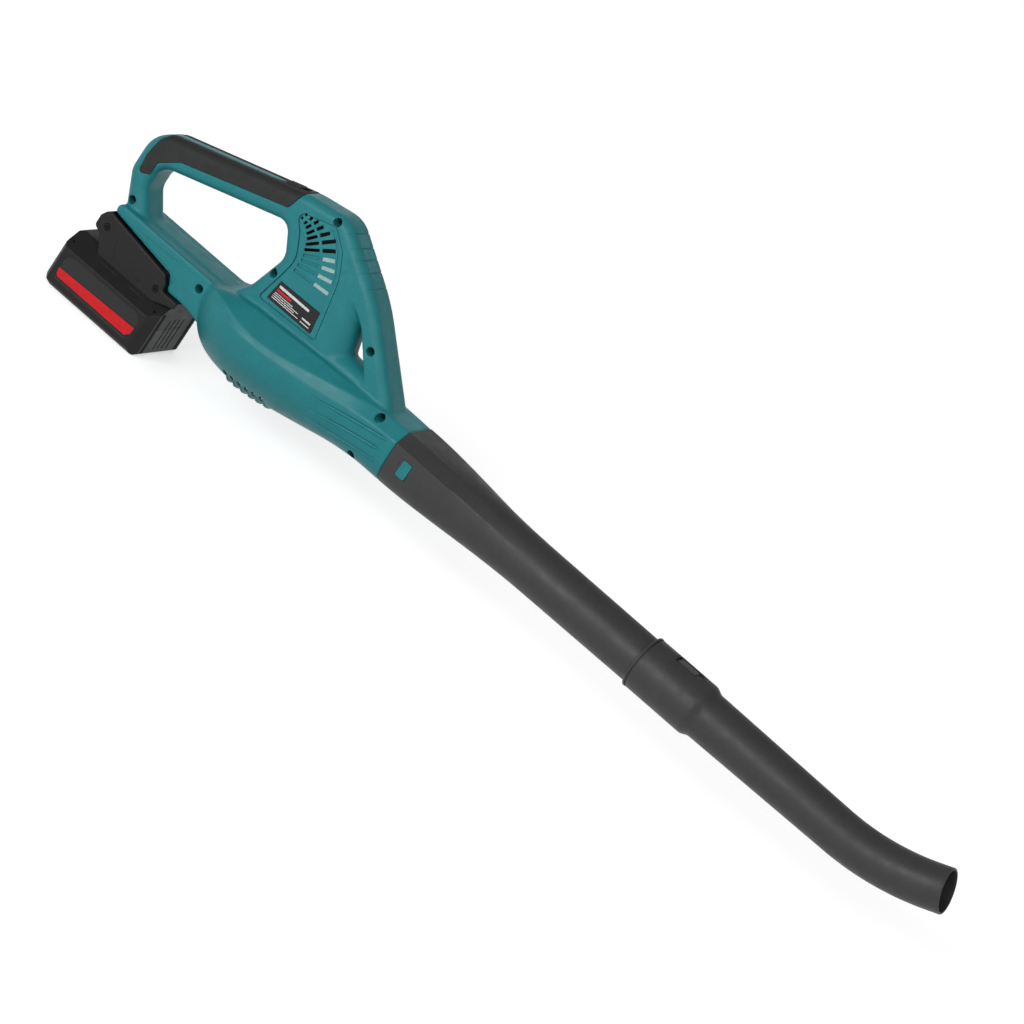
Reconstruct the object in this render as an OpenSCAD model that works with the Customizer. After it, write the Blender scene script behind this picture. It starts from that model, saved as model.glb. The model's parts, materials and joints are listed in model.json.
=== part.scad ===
// Cordless leaf blower: fan housing with a loop handle, slide-on battery pack and two blow tubes.
// X runs forward along the blow tubes, Y to the left and Z up to the handle. Lengths are millimetres.
// The origin is at the middle of the flat face that the battery pack stands on.

/* [Battery pack] */
// Length of the pack along the blower
battery_l = 115; // [108:1:122]
// Width of the pack
battery_w = 86; // [80:1:96]
// Height of the pack's case, without its rail
battery_h = 56; // [53:1:62]
// Wall of the pack's case
battery_wall = 2.4; // [1.8:0.1:3]
// Height and width of the slope along each long side of the pack
shoulder = 17; // [12:1:20]
// Height of the lower case, up to the seam
seam_h = 30; // [24:1:34]
// Chamfer at the pack's upright and bottom edges
pack_chamfer = 7; // [4:0.5:9]
// Width of the rail's head
rail_w = 50; // [44:1:54]
// Distance from the catch hook to the rail
rail_setback = 1.5; // [1:0.5:4]
// Height of the rail's neck
rail_neck_h = 4; // [3:0.5:6]
// Height of the rail's head
rail_head_h = 6; // [5:0.5:8]
// Depth of the groove beside the rail's neck
rail_groove = 5; // [3:0.5:7]
// Diameter of one cell
cell_d = 18.4; // [18:0.1:18.8]
// Length of one cell
cell_l = 65; // [63:0.5:70]
// Cells in one row
row_cells = 5; // [4:1:5]

/* [Adaptor] */
// Width of the adaptor
adaptor_w = 66; // [60:1:72]
// Wall of the adaptor
adaptor_wall = 2.6; // [2:0.1:3.4]
// Height of the adaptor above the pack's case at its rear end
adaptor_rear_h = 33; // [30:1:36]
// Height of the adaptor above the pack's case at the foot of its slope
adaptor_foot_h = 22; // [20:1:25]
// Height of its front slab above the pack's case
adaptor_slab_h = 7.5; // [7:0.5:10]

/* [Housing] */
// Height of the tube axis above the pack's case
axis_rise = 28; // [26:1:32]
// Height of the deck above the tube axis
deck_rise = 15; // [13:1:17]
// Width of the deck
deck_w = 56; // [50:1:60]
// Wall of the housing
wall = 2.6; // [2:0.1:3.2]
// Where the bulb starts
bulb_x = 76; // [72:1:80]
// Radius of the bulb below the axis
bulb_r = 51; // [48:1:54]
// Half width of the bulb
bulb_side = 50; // [47:1:53]
// Where the neck ends and the rear tube begins
neck_x = 306; // [296:1:320]
// Half width of the neck
neck_side = 34; // [32:0.5:36]
// Depth of the neck below the axis
neck_depth = 28.5; // [27:0.5:31]
// Height of the neck above the axis
neck_rise = 27; // [25:0.5:29]
// Width of the handle and the column
handle_w = 40; // [36:1:44]
// Rounding of the handle's edges
handle_round = 9; // [6:0.5:11]
// Depth of the sunken side panel
panel_depth = 0.8; // [0.5:0.1:1.2]
// Number of intake louvres under the bulb
louvres = 6; // [4:1:7]
// Distance between louvres
louvre_step = 8.4; // [7.5:0.1:9]
// Width of a louvre's opening
louvre_gap = 4.2; // [3:0.1:5]
// Width of a vent slot
vent_slot_w = 3.4; // [2.6:0.1:3.8]
// Thickness of the grip pads
pad_t = 1.6; // [1.2:0.1:2.2]
// Half width of the strip left bare between the pads
strip_half = 6; // [4:0.5:8]

/* [Tubes] */
// Length of the rear tube that shows between neck and collar
rear_tube_l = 283; // [260:1:300]
// Length over which the rear tube turns from the neck's outline to a round one
blend_l = 160; // [130:5:190]
// Wall of both tubes
tube_wall = 2; // [1.6:0.1:2.4]
// Outer radius of the rear tube's round end
tube_r = 23; // [22:0.1:24]
// Extra radius of the round outline where it starts
tube_taper = 1.6; // [1:0.1:2.4]
// Length of the spigot that carries the rear tube
spigot_l = 30; // [26:1:36]
// Gap all round between pieces that plug together
plug_gap = 0.4; // [0.3:0.05:0.6]
// Length of the front tube's collar
collar_l = 74; // [66:1:84]
// Length of the shoulder that closes the collar
collar_shoulder = 9; // [7:1:12]
// Wall of the collar
collar_wall = 2.2; // [1.8:0.1:2.8]
// Length from the collar to the start of the bend
front_straight_l = 149; // [130:1:170]
// Outer radius of the front tube at the mouth
mouth_r = 20.6; // [19.5:0.1:21.5]
// Extra radius of the front tube at the collar
front_taper = 1.9; // [1:0.1:2.4]
// Radius of the bend, at the tube's centre line
bend_r = 250; // [220:5:300]
// Angle of the bend
bend_angle = 22; // [15:1:28]
// Length of the straight mouth
mouth_l = 14; // [10:1:24]

/* [Latches] */
// Height of a tube lock button
button_h = 15.6; // [13:0.1:17]
// Width of a tube lock button
button_w = 10; // [8:0.1:12]
// Travel of a tube lock button
button_travel = 3; // [2:0.5:3.5]
// Distance from the neck to the middle of the buttons
button_x = 19; // [17:0.5:21]
// Travel of the battery release button
release_travel = 4; // [3:0.5:5]
// Length of the snap window in the collar
window_l = 29; // [24:1:34]
// Width of the snap window
window_w = 17; // [14:0.5:19]

/* [Fan and motor] */
// Diameter of the motor can
motor_d = 42; // [38:0.5:44]
// Length of the motor can
motor_l = 54; // [48:1:56]
// Where the motor's front face is
motor_x = 170; // [167:1:173]
// Diameter of the motor shaft
shaft_d = 5; // [4:0.5:6]
// Depth of the motor's axis below the tube axis
fan_drop = 9; // [7:0.5:11]
// Radius of the impeller's blade tips
fan_r = 28; // [26:0.5:29]
// Length of the impeller
fan_l = 20; // [16:1:22]
// Radius of the impeller's hub
fan_hub_r = 14; // [12:0.5:16]
// Number of impeller blades
fan_blades = 9; // [7:1:11]
// Running gap round the impeller
fan_gap = 1.2; // [0.9:0.1:1.4]
// Length of the stator
stator_l = 14; // [12:1:15]
// Number of stator vanes
stator_vanes = 7; // [5:1:9]

/* [Switch] */
// Slope of the handle's top, in degrees
handle_slope = 16; // [14:0.5:18]
// Length of the slide knob
knob_l = 16; // [13:0.5:18]
// Width of the slide knob
knob_w = 11; // [9:0.5:13]
// Travel of the slide knob
knob_travel = 7; // [5:0.5:8]

/* [Hidden] */
$fn = 48;
tiny = 0.01;
gap = 0.3;
seam = 0.05;

teal = [0.25, 0.57, 0.59];
black = [0.2, 0.2, 0.21];
rubber = [0.14, 0.14, 0.14];
steel = [0.7, 0.7, 0.72];
copper = [0.72, 0.45, 0.25];
board_green = [0.1, 0.4, 0.2];

axis_z = battery_h + axis_rise;
deck_z = axis_z + deck_rise;
half_w = handle_w / 2;
half_deck = deck_w / 2;

// ---- small helpers ----

function mix(a, b, t) = a + (b - a) * t;
function ease(t) = let (u = min(1, max(0, t))) u * u * (3 - 2 * u);
function unit(v) = v / norm(v);

// The row of a table that holds x, and the cubic curve through the rows of one column.
function row_at(x, t, i = 0) = (i >= len(t) - 2 || x < t[i + 1][0]) ? i : row_at(x, t, i + 1);
function slope_at(t, i, k) = let (a = max(0, i - 1), b = min(len(t) - 1, i + 1))
    (t[b][k] - t[a][k]) / (t[b][0] - t[a][0]);
function curve(x, t, k) = let (i = row_at(x, t), h = t[i + 1][0] - t[i][0], u = (x - t[i][0]) / h)
    (2 * u ^ 3 - 3 * u ^ 2 + 1) * t[i][k] + (u ^ 3 - 2 * u ^ 2 + u) * h * slope_at(t, i, k)
    + (3 * u ^ 2 - 2 * u ^ 3) * t[i + 1][k] + (u ^ 3 - u ^ 2) * h * slope_at(t, i + 1, k);

// One corner [x, z, radius] of an outline as an arc.
function corner(a, p, b, steps) = let (
    q = [p[0], p[1]], u = unit([a[0], a[1]] - q), v = unit([b[0], b[1]] - q),
    half = acos(max(-1, min(1, u * v))) / 2, c = q + unit(u + v) * p[2] / sin(half),
    s = q + u * p[2] / tan(half) - c, e = q + v * p[2] / tan(half) - c,
    a0 = atan2(s[1], s[0]), turn = atan2(s[0] * e[1] - s[1] * e[0], s * e))
    [for (i = [0 : steps]) c + p[2] * [cos(a0 + turn * i / steps), sin(a0 + turn * i / steps)]];
function rounded(corners, steps = 4) = let (n = len(corners))
    [for (i = [0 : n - 1]) each corner(corners[(i + n - 1) % n], corners[i], corners[(i + 1) % n],
                                       steps)];

// An outline moved inwards by d. Outlines run counter-clockwise.
function inset(pts, d) = let (n = len(pts)) [for (i = [0 : n - 1]) let (
    p = pts[i], e0 = unit(p - pts[(i + n - 1) % n]), e1 = unit(pts[(i + 1) % n] - p),
    m = [-e0[1], e0[0]] + [-e1[1], e1[0]]) p + m * d * 2 / (m * m)];

// A closed solid through rings of points; the rings run clockwise seen from the first one.
module loft(rings) {
    n = len(rings[0]);
    last = (len(rings) - 1) * n;
    polyhedron(
        points = [for (r = rings) each r],
        faces = [[for (i = [n - 1 : -1 : 0]) i], [for (i = [0 : n - 1]) last + i],
                 for (k = [0 : len(rings) - 2], i = [0 : n - 1]) let (j = (i + 1) % n)
                     each [[k * n + i, k * n + j, (k + 1) * n + j],
                           [k * n + i, (k + 1) * n + j, (k + 1) * n + i]]],
        convexity = 12);
}

// A plate of an outline in X and Z, 2 * half thick, with its edges rounded by r.
module plate(pts, half, r, steps = 3) {
    ys = [for (i = [0 : steps]) half - r + r * sin(90 * i / steps)];
    all_y = concat([for (i = [steps : -1 : 0]) -ys[i]], ys);
    loft([for (y = all_y) let (s = max(0, abs(y) - (half - r)), d = r - sqrt(r * r - s * s))
          [for (p = inset(pts, d)) [p[0], y, p[1]]]]);
}

// The space of a hole through such a plate, flared where it meets the plate's rounded faces.
module flared_hole(pts, half, r, steps = 3) {
    ys = concat([for (i = [0 : steps]) half - r + r * sin(90 * i / steps)], [half + 1]);
    all_y = concat([for (i = [steps + 1 : -1 : 0]) -ys[i]], ys);
    loft([for (y = all_y) let (s = min(r, max(0, abs(y) - (half - r))), d = r - sqrt(r * r - s * s))
          [for (p = inset(pts, -d)) [p[0], y, p[1]]]]);
}

module along_x(x, z = axis_z) { translate([x, 0, z]) rotate([0, 90, 0]) children(); }
module along_y(x, y, z) { translate([x, y, z]) rotate([-90, 0, 0]) children(); }
module side_profile(pts, half) { rotate([90, 0, 0]) linear_extrude(2 * half, center = true) polygon(pts); }
module cross_profile(pts, x0, x1) {
    translate([x0, 0, 0]) rotate([90, 0, 90]) linear_extrude(x1 - x0) polygon(pts);
}
module box(x, y, z) { translate([x[0], y[0], z[0]]) cube([x[1] - x[0], y[1] - y[0], z[1] - z[0]]); }
module right_only() { intersection() { children(); translate([-200, -200, -50]) cube([800, 200, 400]); } }
module left_only() { intersection() { children(); translate([-200, 0, -50]) cube([800, 200, 400]); } }
module both_sides() { children(); mirror([0, 1, 0]) children(); }

// ---- bulb and neck ----

// Stations of the bulb and neck: x, depth below the axis, side y and z, ridge y and z, root y and z,
// squareness of the lower curve. Heights are from the tube axis.
stations = [
    [bulb_x, 0.5 * bulb_r, 0.56 * bulb_side, 2, 27, deck_rise - 2, 25, deck_rise - 1, 2],
    [bulb_x + 10, 0.74 * bulb_r, 0.72 * bulb_side, 3, 35, deck_rise, 28, deck_rise + 1, 2],
    [bulb_x + 26, 0.91 * bulb_r, 0.88 * bulb_side, 3, 42.5, 14, 28, 20, 2],
    [bulb_x + 49, 0.99 * bulb_r, 0.99 * bulb_side, 3, 47, 10, 28, 23, 2],
    [bulb_x + 74, bulb_r, bulb_side, 3, 47, 9, 28, 24, 2],
    [bulb_x + 102, 0.93 * bulb_r, 0.95 * bulb_side, 4, 44.5, 11, 27, 25.5, 2.1],
    [bulb_x + 136, 0.79 * bulb_r, 0.86 * bulb_side, 6, 39, 17, 25, 26.5, 2.3],
    [bulb_x + 171, 0.64 * bulb_r, 0.75 * bulb_side, 11, 31.5, 23, 22, neck_rise, 2.7],
    [neck_x - 31, neck_depth + 0.5, neck_side + 0.8, 15, 24, neck_rise - 0.6, 18, neck_rise, 3.1],
    [neck_x, neck_depth, neck_side, 16.5, 21, neck_rise, 14, neck_rise, 3.3]];
low_steps = 9;

// One ring, as [y, z] from the axis, drawn in by d all round.
function half_ring(x, d) = let (
    depth = curve(x, stations, 1) - d, sy = curve(x, stations, 2) - d, sz = curve(x, stations, 3),
    e = 2 / curve(x, stations, 8))
    [for (i = [0 : low_steps]) let (a = 90 * i / low_steps)
        [-sy * sin(a) ^ e, sz - (depth + sz) * cos(a) ^ e]];
function top_ring(x, d) = [[-(curve(x, stations, 4) - 0.9 * d), curve(x, stations, 5) - 0.5 * d],
                           [-(curve(x, stations, 6) - 0.7 * d), curve(x, stations, 7) - d]];
function ring_2d(x, d) = let (side = concat(half_ring(x, d), top_ring(x, d)), n = len(side))
    concat(side, [for (i = [n - 1 : -1 : 1]) [-side[i][0], side[i][1]]]);
function at_x(x, ring) = [for (p = ring) [x, p[0], axis_z + p[1]]];

bulb_xs = concat([for (r = stations) r[0]], [for (i = [0 : len(stations) - 2])
                                             (stations[i][0] + stations[i + 1][0]) / 2]);
function sorted(v) = len(v) < 2 ? v : let (p = v[0])
    concat(sorted([for (a = v) if (a < p) a]), [p], sorted([for (a = v) if (a > p) a]));
ring_xs = sorted(bulb_xs);

module bulb() { loft([for (x = ring_xs) at_x(x, ring_2d(x, 0))]); }
module bulb_space() {
    xs = concat([bulb_x + wall], [for (x = ring_xs) if (x > bulb_x + wall) x], [neck_x + 1]);
    loft([for (x = xs) at_x(x, ring_2d(min(x, neck_x), wall))]);
}

// ---- rear tube outline, shared by the spigot ----

collar_x = neck_x + rear_tube_l;
function round_r(x) = tube_r + tube_taper * max(0, 1 - (x - neck_x) / rear_tube_l);
function dense(pts, l) = [for (i = [0 : len(pts) - 1]) let (
    p = pts[i], q = pts[(i + 1) % len(pts)], n = ceil(norm(q - p) / l))
    each [for (k = [0 : n - 1]) mix(p, q, k / n)]];
neck_ring = dense(ring_2d(neck_x, 0), 7);
function tube_ring(x, d) = let (t = ease((x - neck_x) / blend_l), r = round_r(x)) [
    for (p = neck_ring) let (a = atan2(p[1], p[0]), q = mix(p, r * [cos(a), sin(a)], t))
        q * (1 - d / norm(q))];
module tube_loft(x0, x1, d, steps) {
    loft([for (i = [0 : steps]) let (x = mix(x0, x1, i / steps)) at_x(x, tube_ring(x, d))]);
}

// ---- handle loop ----

// Convex corners of these outlines are rounder than the deepest inset made of them.
handle_outline = rounded([
    [neck_x - 8, axis_z + 10, 12], [211, axis_z + 94, 120], [148, axis_z + 138, 20],
    [104, axis_z + 131, 60], [-54, axis_z + 86, 28], [-54, axis_z + 43, 20], [-36, deck_z - 8, 10]]);
hand_opening = rounded([
    [-14, deck_z + 1, 6], [92, deck_z + 1, 7], [104, axis_z + 34, 16], [116, axis_z + 72, 16],
    [100, axis_z + 99, 12], [-30, axis_z + 61, 14], [-30, axis_z + 38, 14]]);
window_opening = rounded([
    [195, axis_z + 25, 4], [246, axis_z + 27, 5], [212, axis_z + 70, 60], [181, axis_z + 91, 4]]);
panel_outline = rounded([
    [121, axis_z + 31, 3], [184, axis_z + 33, 3], [172, axis_z + 88, 60], [160, axis_z + 116, 14],
    [140, axis_z + 129, 7], [106, axis_z + 121, 7], [123, axis_z + 98, 30], [121, axis_z + 66, 40]]);

// The deck carries the handle's column and bridges the adaptor and the bulb.
foot_x = 38;
base_outline = rounded([
    [-38, battery_h + adaptor_rear_h, 4], [foot_x, battery_h + adaptor_foot_h, 1.5],
    [foot_x + 5, battery_h + adaptor_foot_h - 8, 3], [foot_x + 6, battery_h + adaptor_slab_h, 4],
    [bulb_x - 7, battery_h + adaptor_slab_h, 4], [bulb_x + 12, axis_z - 25, 4],
    [bulb_x + 22, deck_z, 4], [-41, deck_z, 5]]);
base_round = 3;

module handle_solid(d = 0) { plate(inset(handle_outline, d), half_w - d, handle_round - d * 0.8); }
module base_solid(d = 0) {
    plate(inset(base_outline, d), half_deck - d, d > 0 ? base_round / 3 : base_round, 2);
}

// ---- where the grip pads lie ----

pad_zone = [
    [-44, axis_z + 45], [-33, axis_z + 50], [-33, axis_z + 63], [-14, axis_z + 78],
    [94.5, axis_z + 111], [97, axis_z + 118], [106, axis_z + 160], [-34, axis_z + 160],
    [-34, axis_z + 96], [-43, axis_z + 82], [-46, axis_z + 62]];
// The pads are a skin of the handle; grown outwards they are the seat cut for them.
module pads(outer = 0) {
    intersection() {
        difference() {
            handle_solid(-outer);
            handle_solid(pad_t);
            box([-100, 120], [-strip_half, strip_half], [axis_z, axis_z + 200]);
            if (outer == 0) bezel_seat();
        }
        side_profile(pad_zone, handle_w);
    }
}

// ---- screws that join the halves ----

screw_spots = [[-34.5, deck_z + 6], [69.6, deck_z - 13.5], [117, axis_z + 55.5],
               [141, axis_z + 130], [233.4, axis_z + 59], [278, axis_z + 21.5],
               [273.5, axis_z - 23]];
screw_side = [half_w, half_deck, half_w, half_w, half_w, neck_side - 7, neck_side - 12];
screw_hole_r = 3.4;
screw_head_r = 2.9;
screw_core_r = 1.5;
boss_r = 4.6;
screw_tip = 10;
module head_wells() {
    for (i = [0 : len(screw_spots) - 1])
        along_y(screw_spots[i][0], -screw_side[i] - 12, screw_spots[i][1])
            cylinder(r = screw_hole_r, h = screw_side[i] + 12 - 9, $fn = 24);
}
module screw_ways(r) {
    for (s = screw_spots)
        along_y(s[0], -11, s[1]) cylinder(r = r, h = 11 + screw_tip + 1, $fn = 24);
}
// Bosses, each with two hulled ribs along the wall.
module bosses() {
    for (i = [0 : len(screw_spots) - 1]) {
        s = screw_spots[i];
        half = screw_side[i] - 1;
        along_y(s[0], -half, s[1]) cylinder(r = boss_r, h = 2 * half, $fn = 24);
        for (a = [0, 90]) hull() for (e = [-1, 1])
            along_y(s[0] + e * 6 * cos(a), -half + 2, s[1] + e * 6 * sin(a))
                cylinder(r = 0.8, h = 2 * (half - 2), $fn = 8);
    }
}

// ---- vents ----

vent_centre = [96, axis_z + 69];
open_slots = 7;
function vent_angle(i) = i < open_slots ? 70.5 - 6.1 * i : 27.4 - 8.1 * (i - open_slots);
function vent_growth(i) = min(1, (i + 1.2) / 6.5);
module vent_slots(first, last) {
    for (i = [first : last], column = [0, 1]) {
        g = vent_growth(i);
        mid = column == 0 ? 48 : 50 + 15.5 * ease(g);
        long = column == 0 ? 3 + 11.5 * g : 3.5 + 12.5 * g;
        a = vent_angle(i);
        translate([vent_centre[0] + mid * cos(a), 0, vent_centre[1] + mid * sin(a)])
            rotate([0, -a, 0]) cube([long, 200, vent_slot_w], center = true);
    }
}

// ---- housing halves ----

louvre_x = 134;
module louvre_openings() {
    for (i = [0 : louvres - 1])
        translate([louvre_x + i * louvre_step, 0, axis_z - bulb_r])
            cube([louvre_gap, 62, 30], center = true);
}
module louvre_lips() {
    for (i = [0 : louvres - 1]) {
        x = louvre_x + i * louvre_step + louvre_gap / 2;
        r = curve(x, stations, 1);
        hull() for (e = [-1, 0, 1])
            translate([x + 0.8, e * 24, axis_z - sqrt(r * r - pow(e * 24, 2)) - 0.2])
                sphere(r = 1.8, $fn = 12);
    }
}

// Tabs that reach down into the adaptor for its screws.
tab_t = 3.4;
tab_l = 11;
tab_spots = [[-34.5, battery_h + 19], [36.8, battery_h + 4.6]];
module tabs(extra = 0) {
    for (s = tab_spots)
        box([s[0] - tab_l / 2 - extra, s[0] + tab_l / 2 + extra],
            [adaptor_w / 2 - adaptor_wall - tab_t - gap - extra, adaptor_w / 2 - adaptor_wall - gap + extra],
            [s[1] - 4.4 - extra, battery_h + adaptor_rear_h + (s[0] > 0 ? -6 : 3)]);
}

lock_z = axis_z + 1;
cage_l = button_w + 6;
cage_h = button_h + 5;
cage_depth = 7 + 2 * button_travel;
module spigot() {
    difference() {
        union() {
            tube_loft(neck_x - 9, neck_x - 0.5, 1, 2);
            tube_loft(neck_x - 6, neck_x + spigot_l, tube_wall + plug_gap, 5);
        }
        tube_loft(neck_x - 10, neck_x + spigot_l + 1, tube_wall + plug_gap + wall, 5);
        translate([neck_x + button_x - cage_l / 2 - 1.5, -60, lock_z - cage_h / 2 - 1])
            cube([spigot_l + 10, 120, cage_h + 2]);
    }
}

// The walls inside the halves that the fan parts, the switch and the terminals sit on.
fan_z = axis_z - fan_drop;
fan_x = motor_x + 10;
stator_x = fan_x + fan_l + 4;
shroud_r = fan_r + fan_gap;
shroud_t = 1;
mount_r = motor_d / 2 + 9;
ledge_t = 2;
module ring_ledge(x, r_in) {
    difference() {
        intersection() {
            box([x, x + ledge_t], [-100, 100], [0, 200]);
            bulb();
        }
        along_x(x - 1, fan_z) cylinder(r = r_in, h = ledge_t + 2);
    }
}

terminal_l = 14;
terminal_w = 40;
terminal_x = [foot_x - 10, foot_x - 10 + terminal_l];
rail_top = battery_h + rail_neck_h + rail_head_h;
terminal_top = battery_h + 20;

// The outside of the joined halves, with the two openings of the handle loop.
module housing_body() {
    bulb();
    base_solid();
    louvre_lips();
    difference() {
        handle_solid();
        flared_hole(hand_opening, half_w, handle_round);
        flared_hole(window_opening, half_w, handle_round);
    }
}
module handle_space() {
    difference() {
        handle_solid(wall);
        difference() {
            bulb();
            bulb_space();
        }
        flared_hole(inset(hand_opening, -wall), half_w - wall, handle_round - wall);
        flared_hole(inset(window_opening, -wall), half_w - wall, handle_round - wall);
    }
}
module housing_space() {
    difference() {
        union() {
            bulb_space();
            handle_space();
            base_solid(wall);
        }
        bosses();
        ring_ledge(motor_x - ledge_t, mount_r - 3);
        ring_ledge(stator_x, shroud_r);
        board_posts();
        switch_ribs();
    }
    // Ways for the wires, from the adaptor into the base and from the column into the bulb.
    box([16, 38], [-9, 9], [battery_h + adaptor_foot_h - 3, axis_z + 6]);
    box([106, 120], [-9, 9], [axis_z + 10, deck_z + 16]);
}

// ---- switch ----

// ---- switch ----

knob_mid = [86, axis_z + 125.3];
bezel_l = knob_l + knob_travel + 6;
bezel_w = knob_w + 6;
bezel_t = 2.4;
bezel_deep = 9;
switch_box = [30, 14, 12];
module on_handle_top() {
    translate([knob_mid[0], 0, knob_mid[1]]) rotate([0, -handle_slope, 0]) children();
}
module slab(l, w, z0, z1) { translate([-l / 2, -w / 2, z0]) cube([l, w, z1 - z0]); }
module bezel_seat() {
    on_handle_top() {
        slab(bezel_l, bezel_w, -1, 9);
        slab(bezel_l - 4, bezel_w - 4, -bezel_deep, 9);
    }
}
module switch_ribs() {
    on_handle_top() for (s = [-1, 1])
        translate([s * (switch_box[0] / 2 + 1.1), 0, 0])
            slab(2, handle_w - 3, -bezel_deep - switch_box[2], -bezel_deep + 4);
}
board_x = 145;
board_z = axis_z + 60;
board_size = [32, 1.6, 40];
module board_posts() {
    for (x = [-1, 1], z = [-1, 1])
        difference() {
            along_y(board_x + x * 12, -half_w + 1, board_z + z * 16)
                cylinder(r = 2.6, h = handle_w - 2, $fn = 16);
            box([0, 300], [-board_size[1] / 2 - 0.1, board_size[1] / 2 + 0.1], [0, 300]);
        }
}
module terminal_seat() {
    box([terminal_x[0] - gap, terminal_x[1] + gap], [-terminal_w / 2 - gap, terminal_w / 2 + gap],
        [battery_h, terminal_top + gap]);
}
module panel_recess() {
    translate([0, -half_w - 10 + panel_depth, 0]) side_profile(panel_outline, 10);
}

module housing() {
    difference() {
        union() {
            difference() {
                housing_body();
                housing_space();
            }
            spigot();
            both_sides() tabs();
        }
        head_wells();
        screw_ways(screw_core_r + 0.1);
        pads(1);
        both_sides() panel_recess();
        louvre_openings();
        vent_slots(0, open_slots - 1);
        bezel_seat();
        terminal_seat();
        for (s = tab_spots)
            along_y(s[0], -60, s[1]) cylinder(r = 1.3, h = 120, $fn = 24);
    }
}
module right_housing() { color(teal) right_only() housing(); }
module left_housing() { color(teal) left_only() housing(); }
module right_grip_pad() { color(rubber) right_only() pads(); }
module left_grip_pad() { color(rubber) left_only() pads(); }

// The plate on the sunken panel.
plate_t = 0.7;
nameplate_outline = [[124.5, axis_z + 35], [177.5, axis_z + 35], [174.5, axis_z + 56],
                     [127.5, axis_z + 55]];
module nameplate() {
    color(black) translate([0, -half_w + panel_depth - plate_t / 2, 0])
        side_profile(nameplate_outline, plate_t / 2);
}

module screw(length, head_r, core_r, head_l) {
    difference() {
        union() {
            cylinder(r = head_r, h = head_l);
            cylinder(r = core_r, h = length);
        }
        translate([0, 0, -tiny]) cylinder(r = head_r * 0.45, h = head_l * 0.6, $fn = 6);
    }
}
well_floor = 9;
module housing_screws() {
    color(steel) for (s = screw_spots)
        along_y(s[0], -well_floor - 2.4, s[1]) screw(well_floor + 2.4 + screw_tip, screw_head_r,
                                                       screw_core_r, 2.4);
}

module switch_bezel() {
    color(black) on_handle_top() difference() {
        union() {
            slab(bezel_l - 0.2, bezel_w - 0.2, -1, -1 + bezel_t);
            slab(bezel_l - 4.2, bezel_w - 4.2, -bezel_deep + 0.1, 0);
        }
        slab(knob_l + knob_travel + gap * 2, knob_w + gap * 2, -4, 5);
        slab(knob_l + knob_travel - 4, 5, -bezel_deep - 1, 0);
    }
}
// The knob rests at its rear end, off.
module slide_knob() {
    color(black) on_handle_top() translate([-knob_travel / 2, 0, 0]) {
        difference() {
            slab(knob_l, knob_w, -3.7, 2.8);
            for (i = [-2 : 2]) translate([i * knob_l / 6.5, 0, 2.8])
                cube([1, knob_w + 2, 1.2], center = true);
        }
        slab(4, 4.2, -bezel_deep - 3, -3.6);
    }
}
module switch_module() {
    color([0.15, 0.15, 0.17]) on_handle_top() difference() {
        slab(switch_box[0], switch_box[1], -bezel_deep - 0.3 - switch_box[2], -bezel_deep - 0.3);
        slab(4.6 + knob_travel, 5, -bezel_deep - 4, -bezel_deep);
    }
    color(steel) on_handle_top() for (x = [-9, 0, 9])
        translate([x, 0, 0]) slab(1, 5, -bezel_deep - switch_box[2] - 3, -bezel_deep - switch_box[2] + 1);
}

module speed_board() {
    color(board_green) box([board_x - board_size[0] / 2, board_x + board_size[0] / 2],
                           [-board_size[1] / 2, board_size[1] / 2],
                           [board_z - board_size[2] / 2, board_z + board_size[2] / 2]);
    color([0.1, 0.1, 0.1]) box([board_x - 8, board_x + 8], [-9, -board_size[1] / 2 + tiny],
                               [board_z - 8, board_z + 3]);
    color(steel) along_y(board_x, -8, board_z + 10) cylinder(r = 4, h = 8);
}

// ---- wires: round leads swept along hand-picked points ----

function route_dir(p, i) = unit(p[min(i + 1, len(p) - 1)] - p[max(i - 1, 0)]);
module lead(p, r, sides = 8) {
    loft([for (i = [0 : len(p) - 1]) let (d = route_dir(p, i), u = unit(cross([0, 1, 0], d)),
                                          v = cross(d, u))
          [for (k = [0 : sides - 1]) p[i] + r * (u * cos(-360 * k / sides) + v * sin(-360 * k / sides))]]);
}
lead_r = 1.3;
supply_route = [[34, terminal_top], [34, terminal_top + 3], [28, axis_z + 3], [14, axis_z + 8],
                [-14, axis_z + 8.5], [-23, axis_z + 13], [-26, axis_z + 21], [-31, axis_z + 30],
                [-39, axis_z + 42], [-42, axis_z + 56], [-36, axis_z + 68], [-20, axis_z + 76],
                [30, axis_z + 91], [66, axis_z + 98], [76, axis_z + 96.8], [83, axis_z + 98]];
motor_route = [[101.5, axis_z + 103.5], [112, axis_z + 101], [121, axis_z + 94], [126, axis_z + 80],
               [126.6, axis_z + 58], [125.5, axis_z + 42], [117, axis_z + 28], [110, axis_z + 20],
               [107, axis_z + 12], [109, fan_z + 16], [115.5, fan_z + 14]];
function spread(route, y) = [for (p = route) [p[0], y, p[1]]];
module supply_wires() {
    color([0.7, 0.1, 0.1]) lead(spread(supply_route, 3), lead_r);
    color(black) lead(spread(supply_route, -3), lead_r);
}
module motor_wires() {
    color([0.7, 0.1, 0.1]) lead(spread(motor_route, 4.5), lead_r);
    color(black) lead(spread(motor_route, -4.5), lead_r);
}

// ---- terminals and adaptor ----

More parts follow.
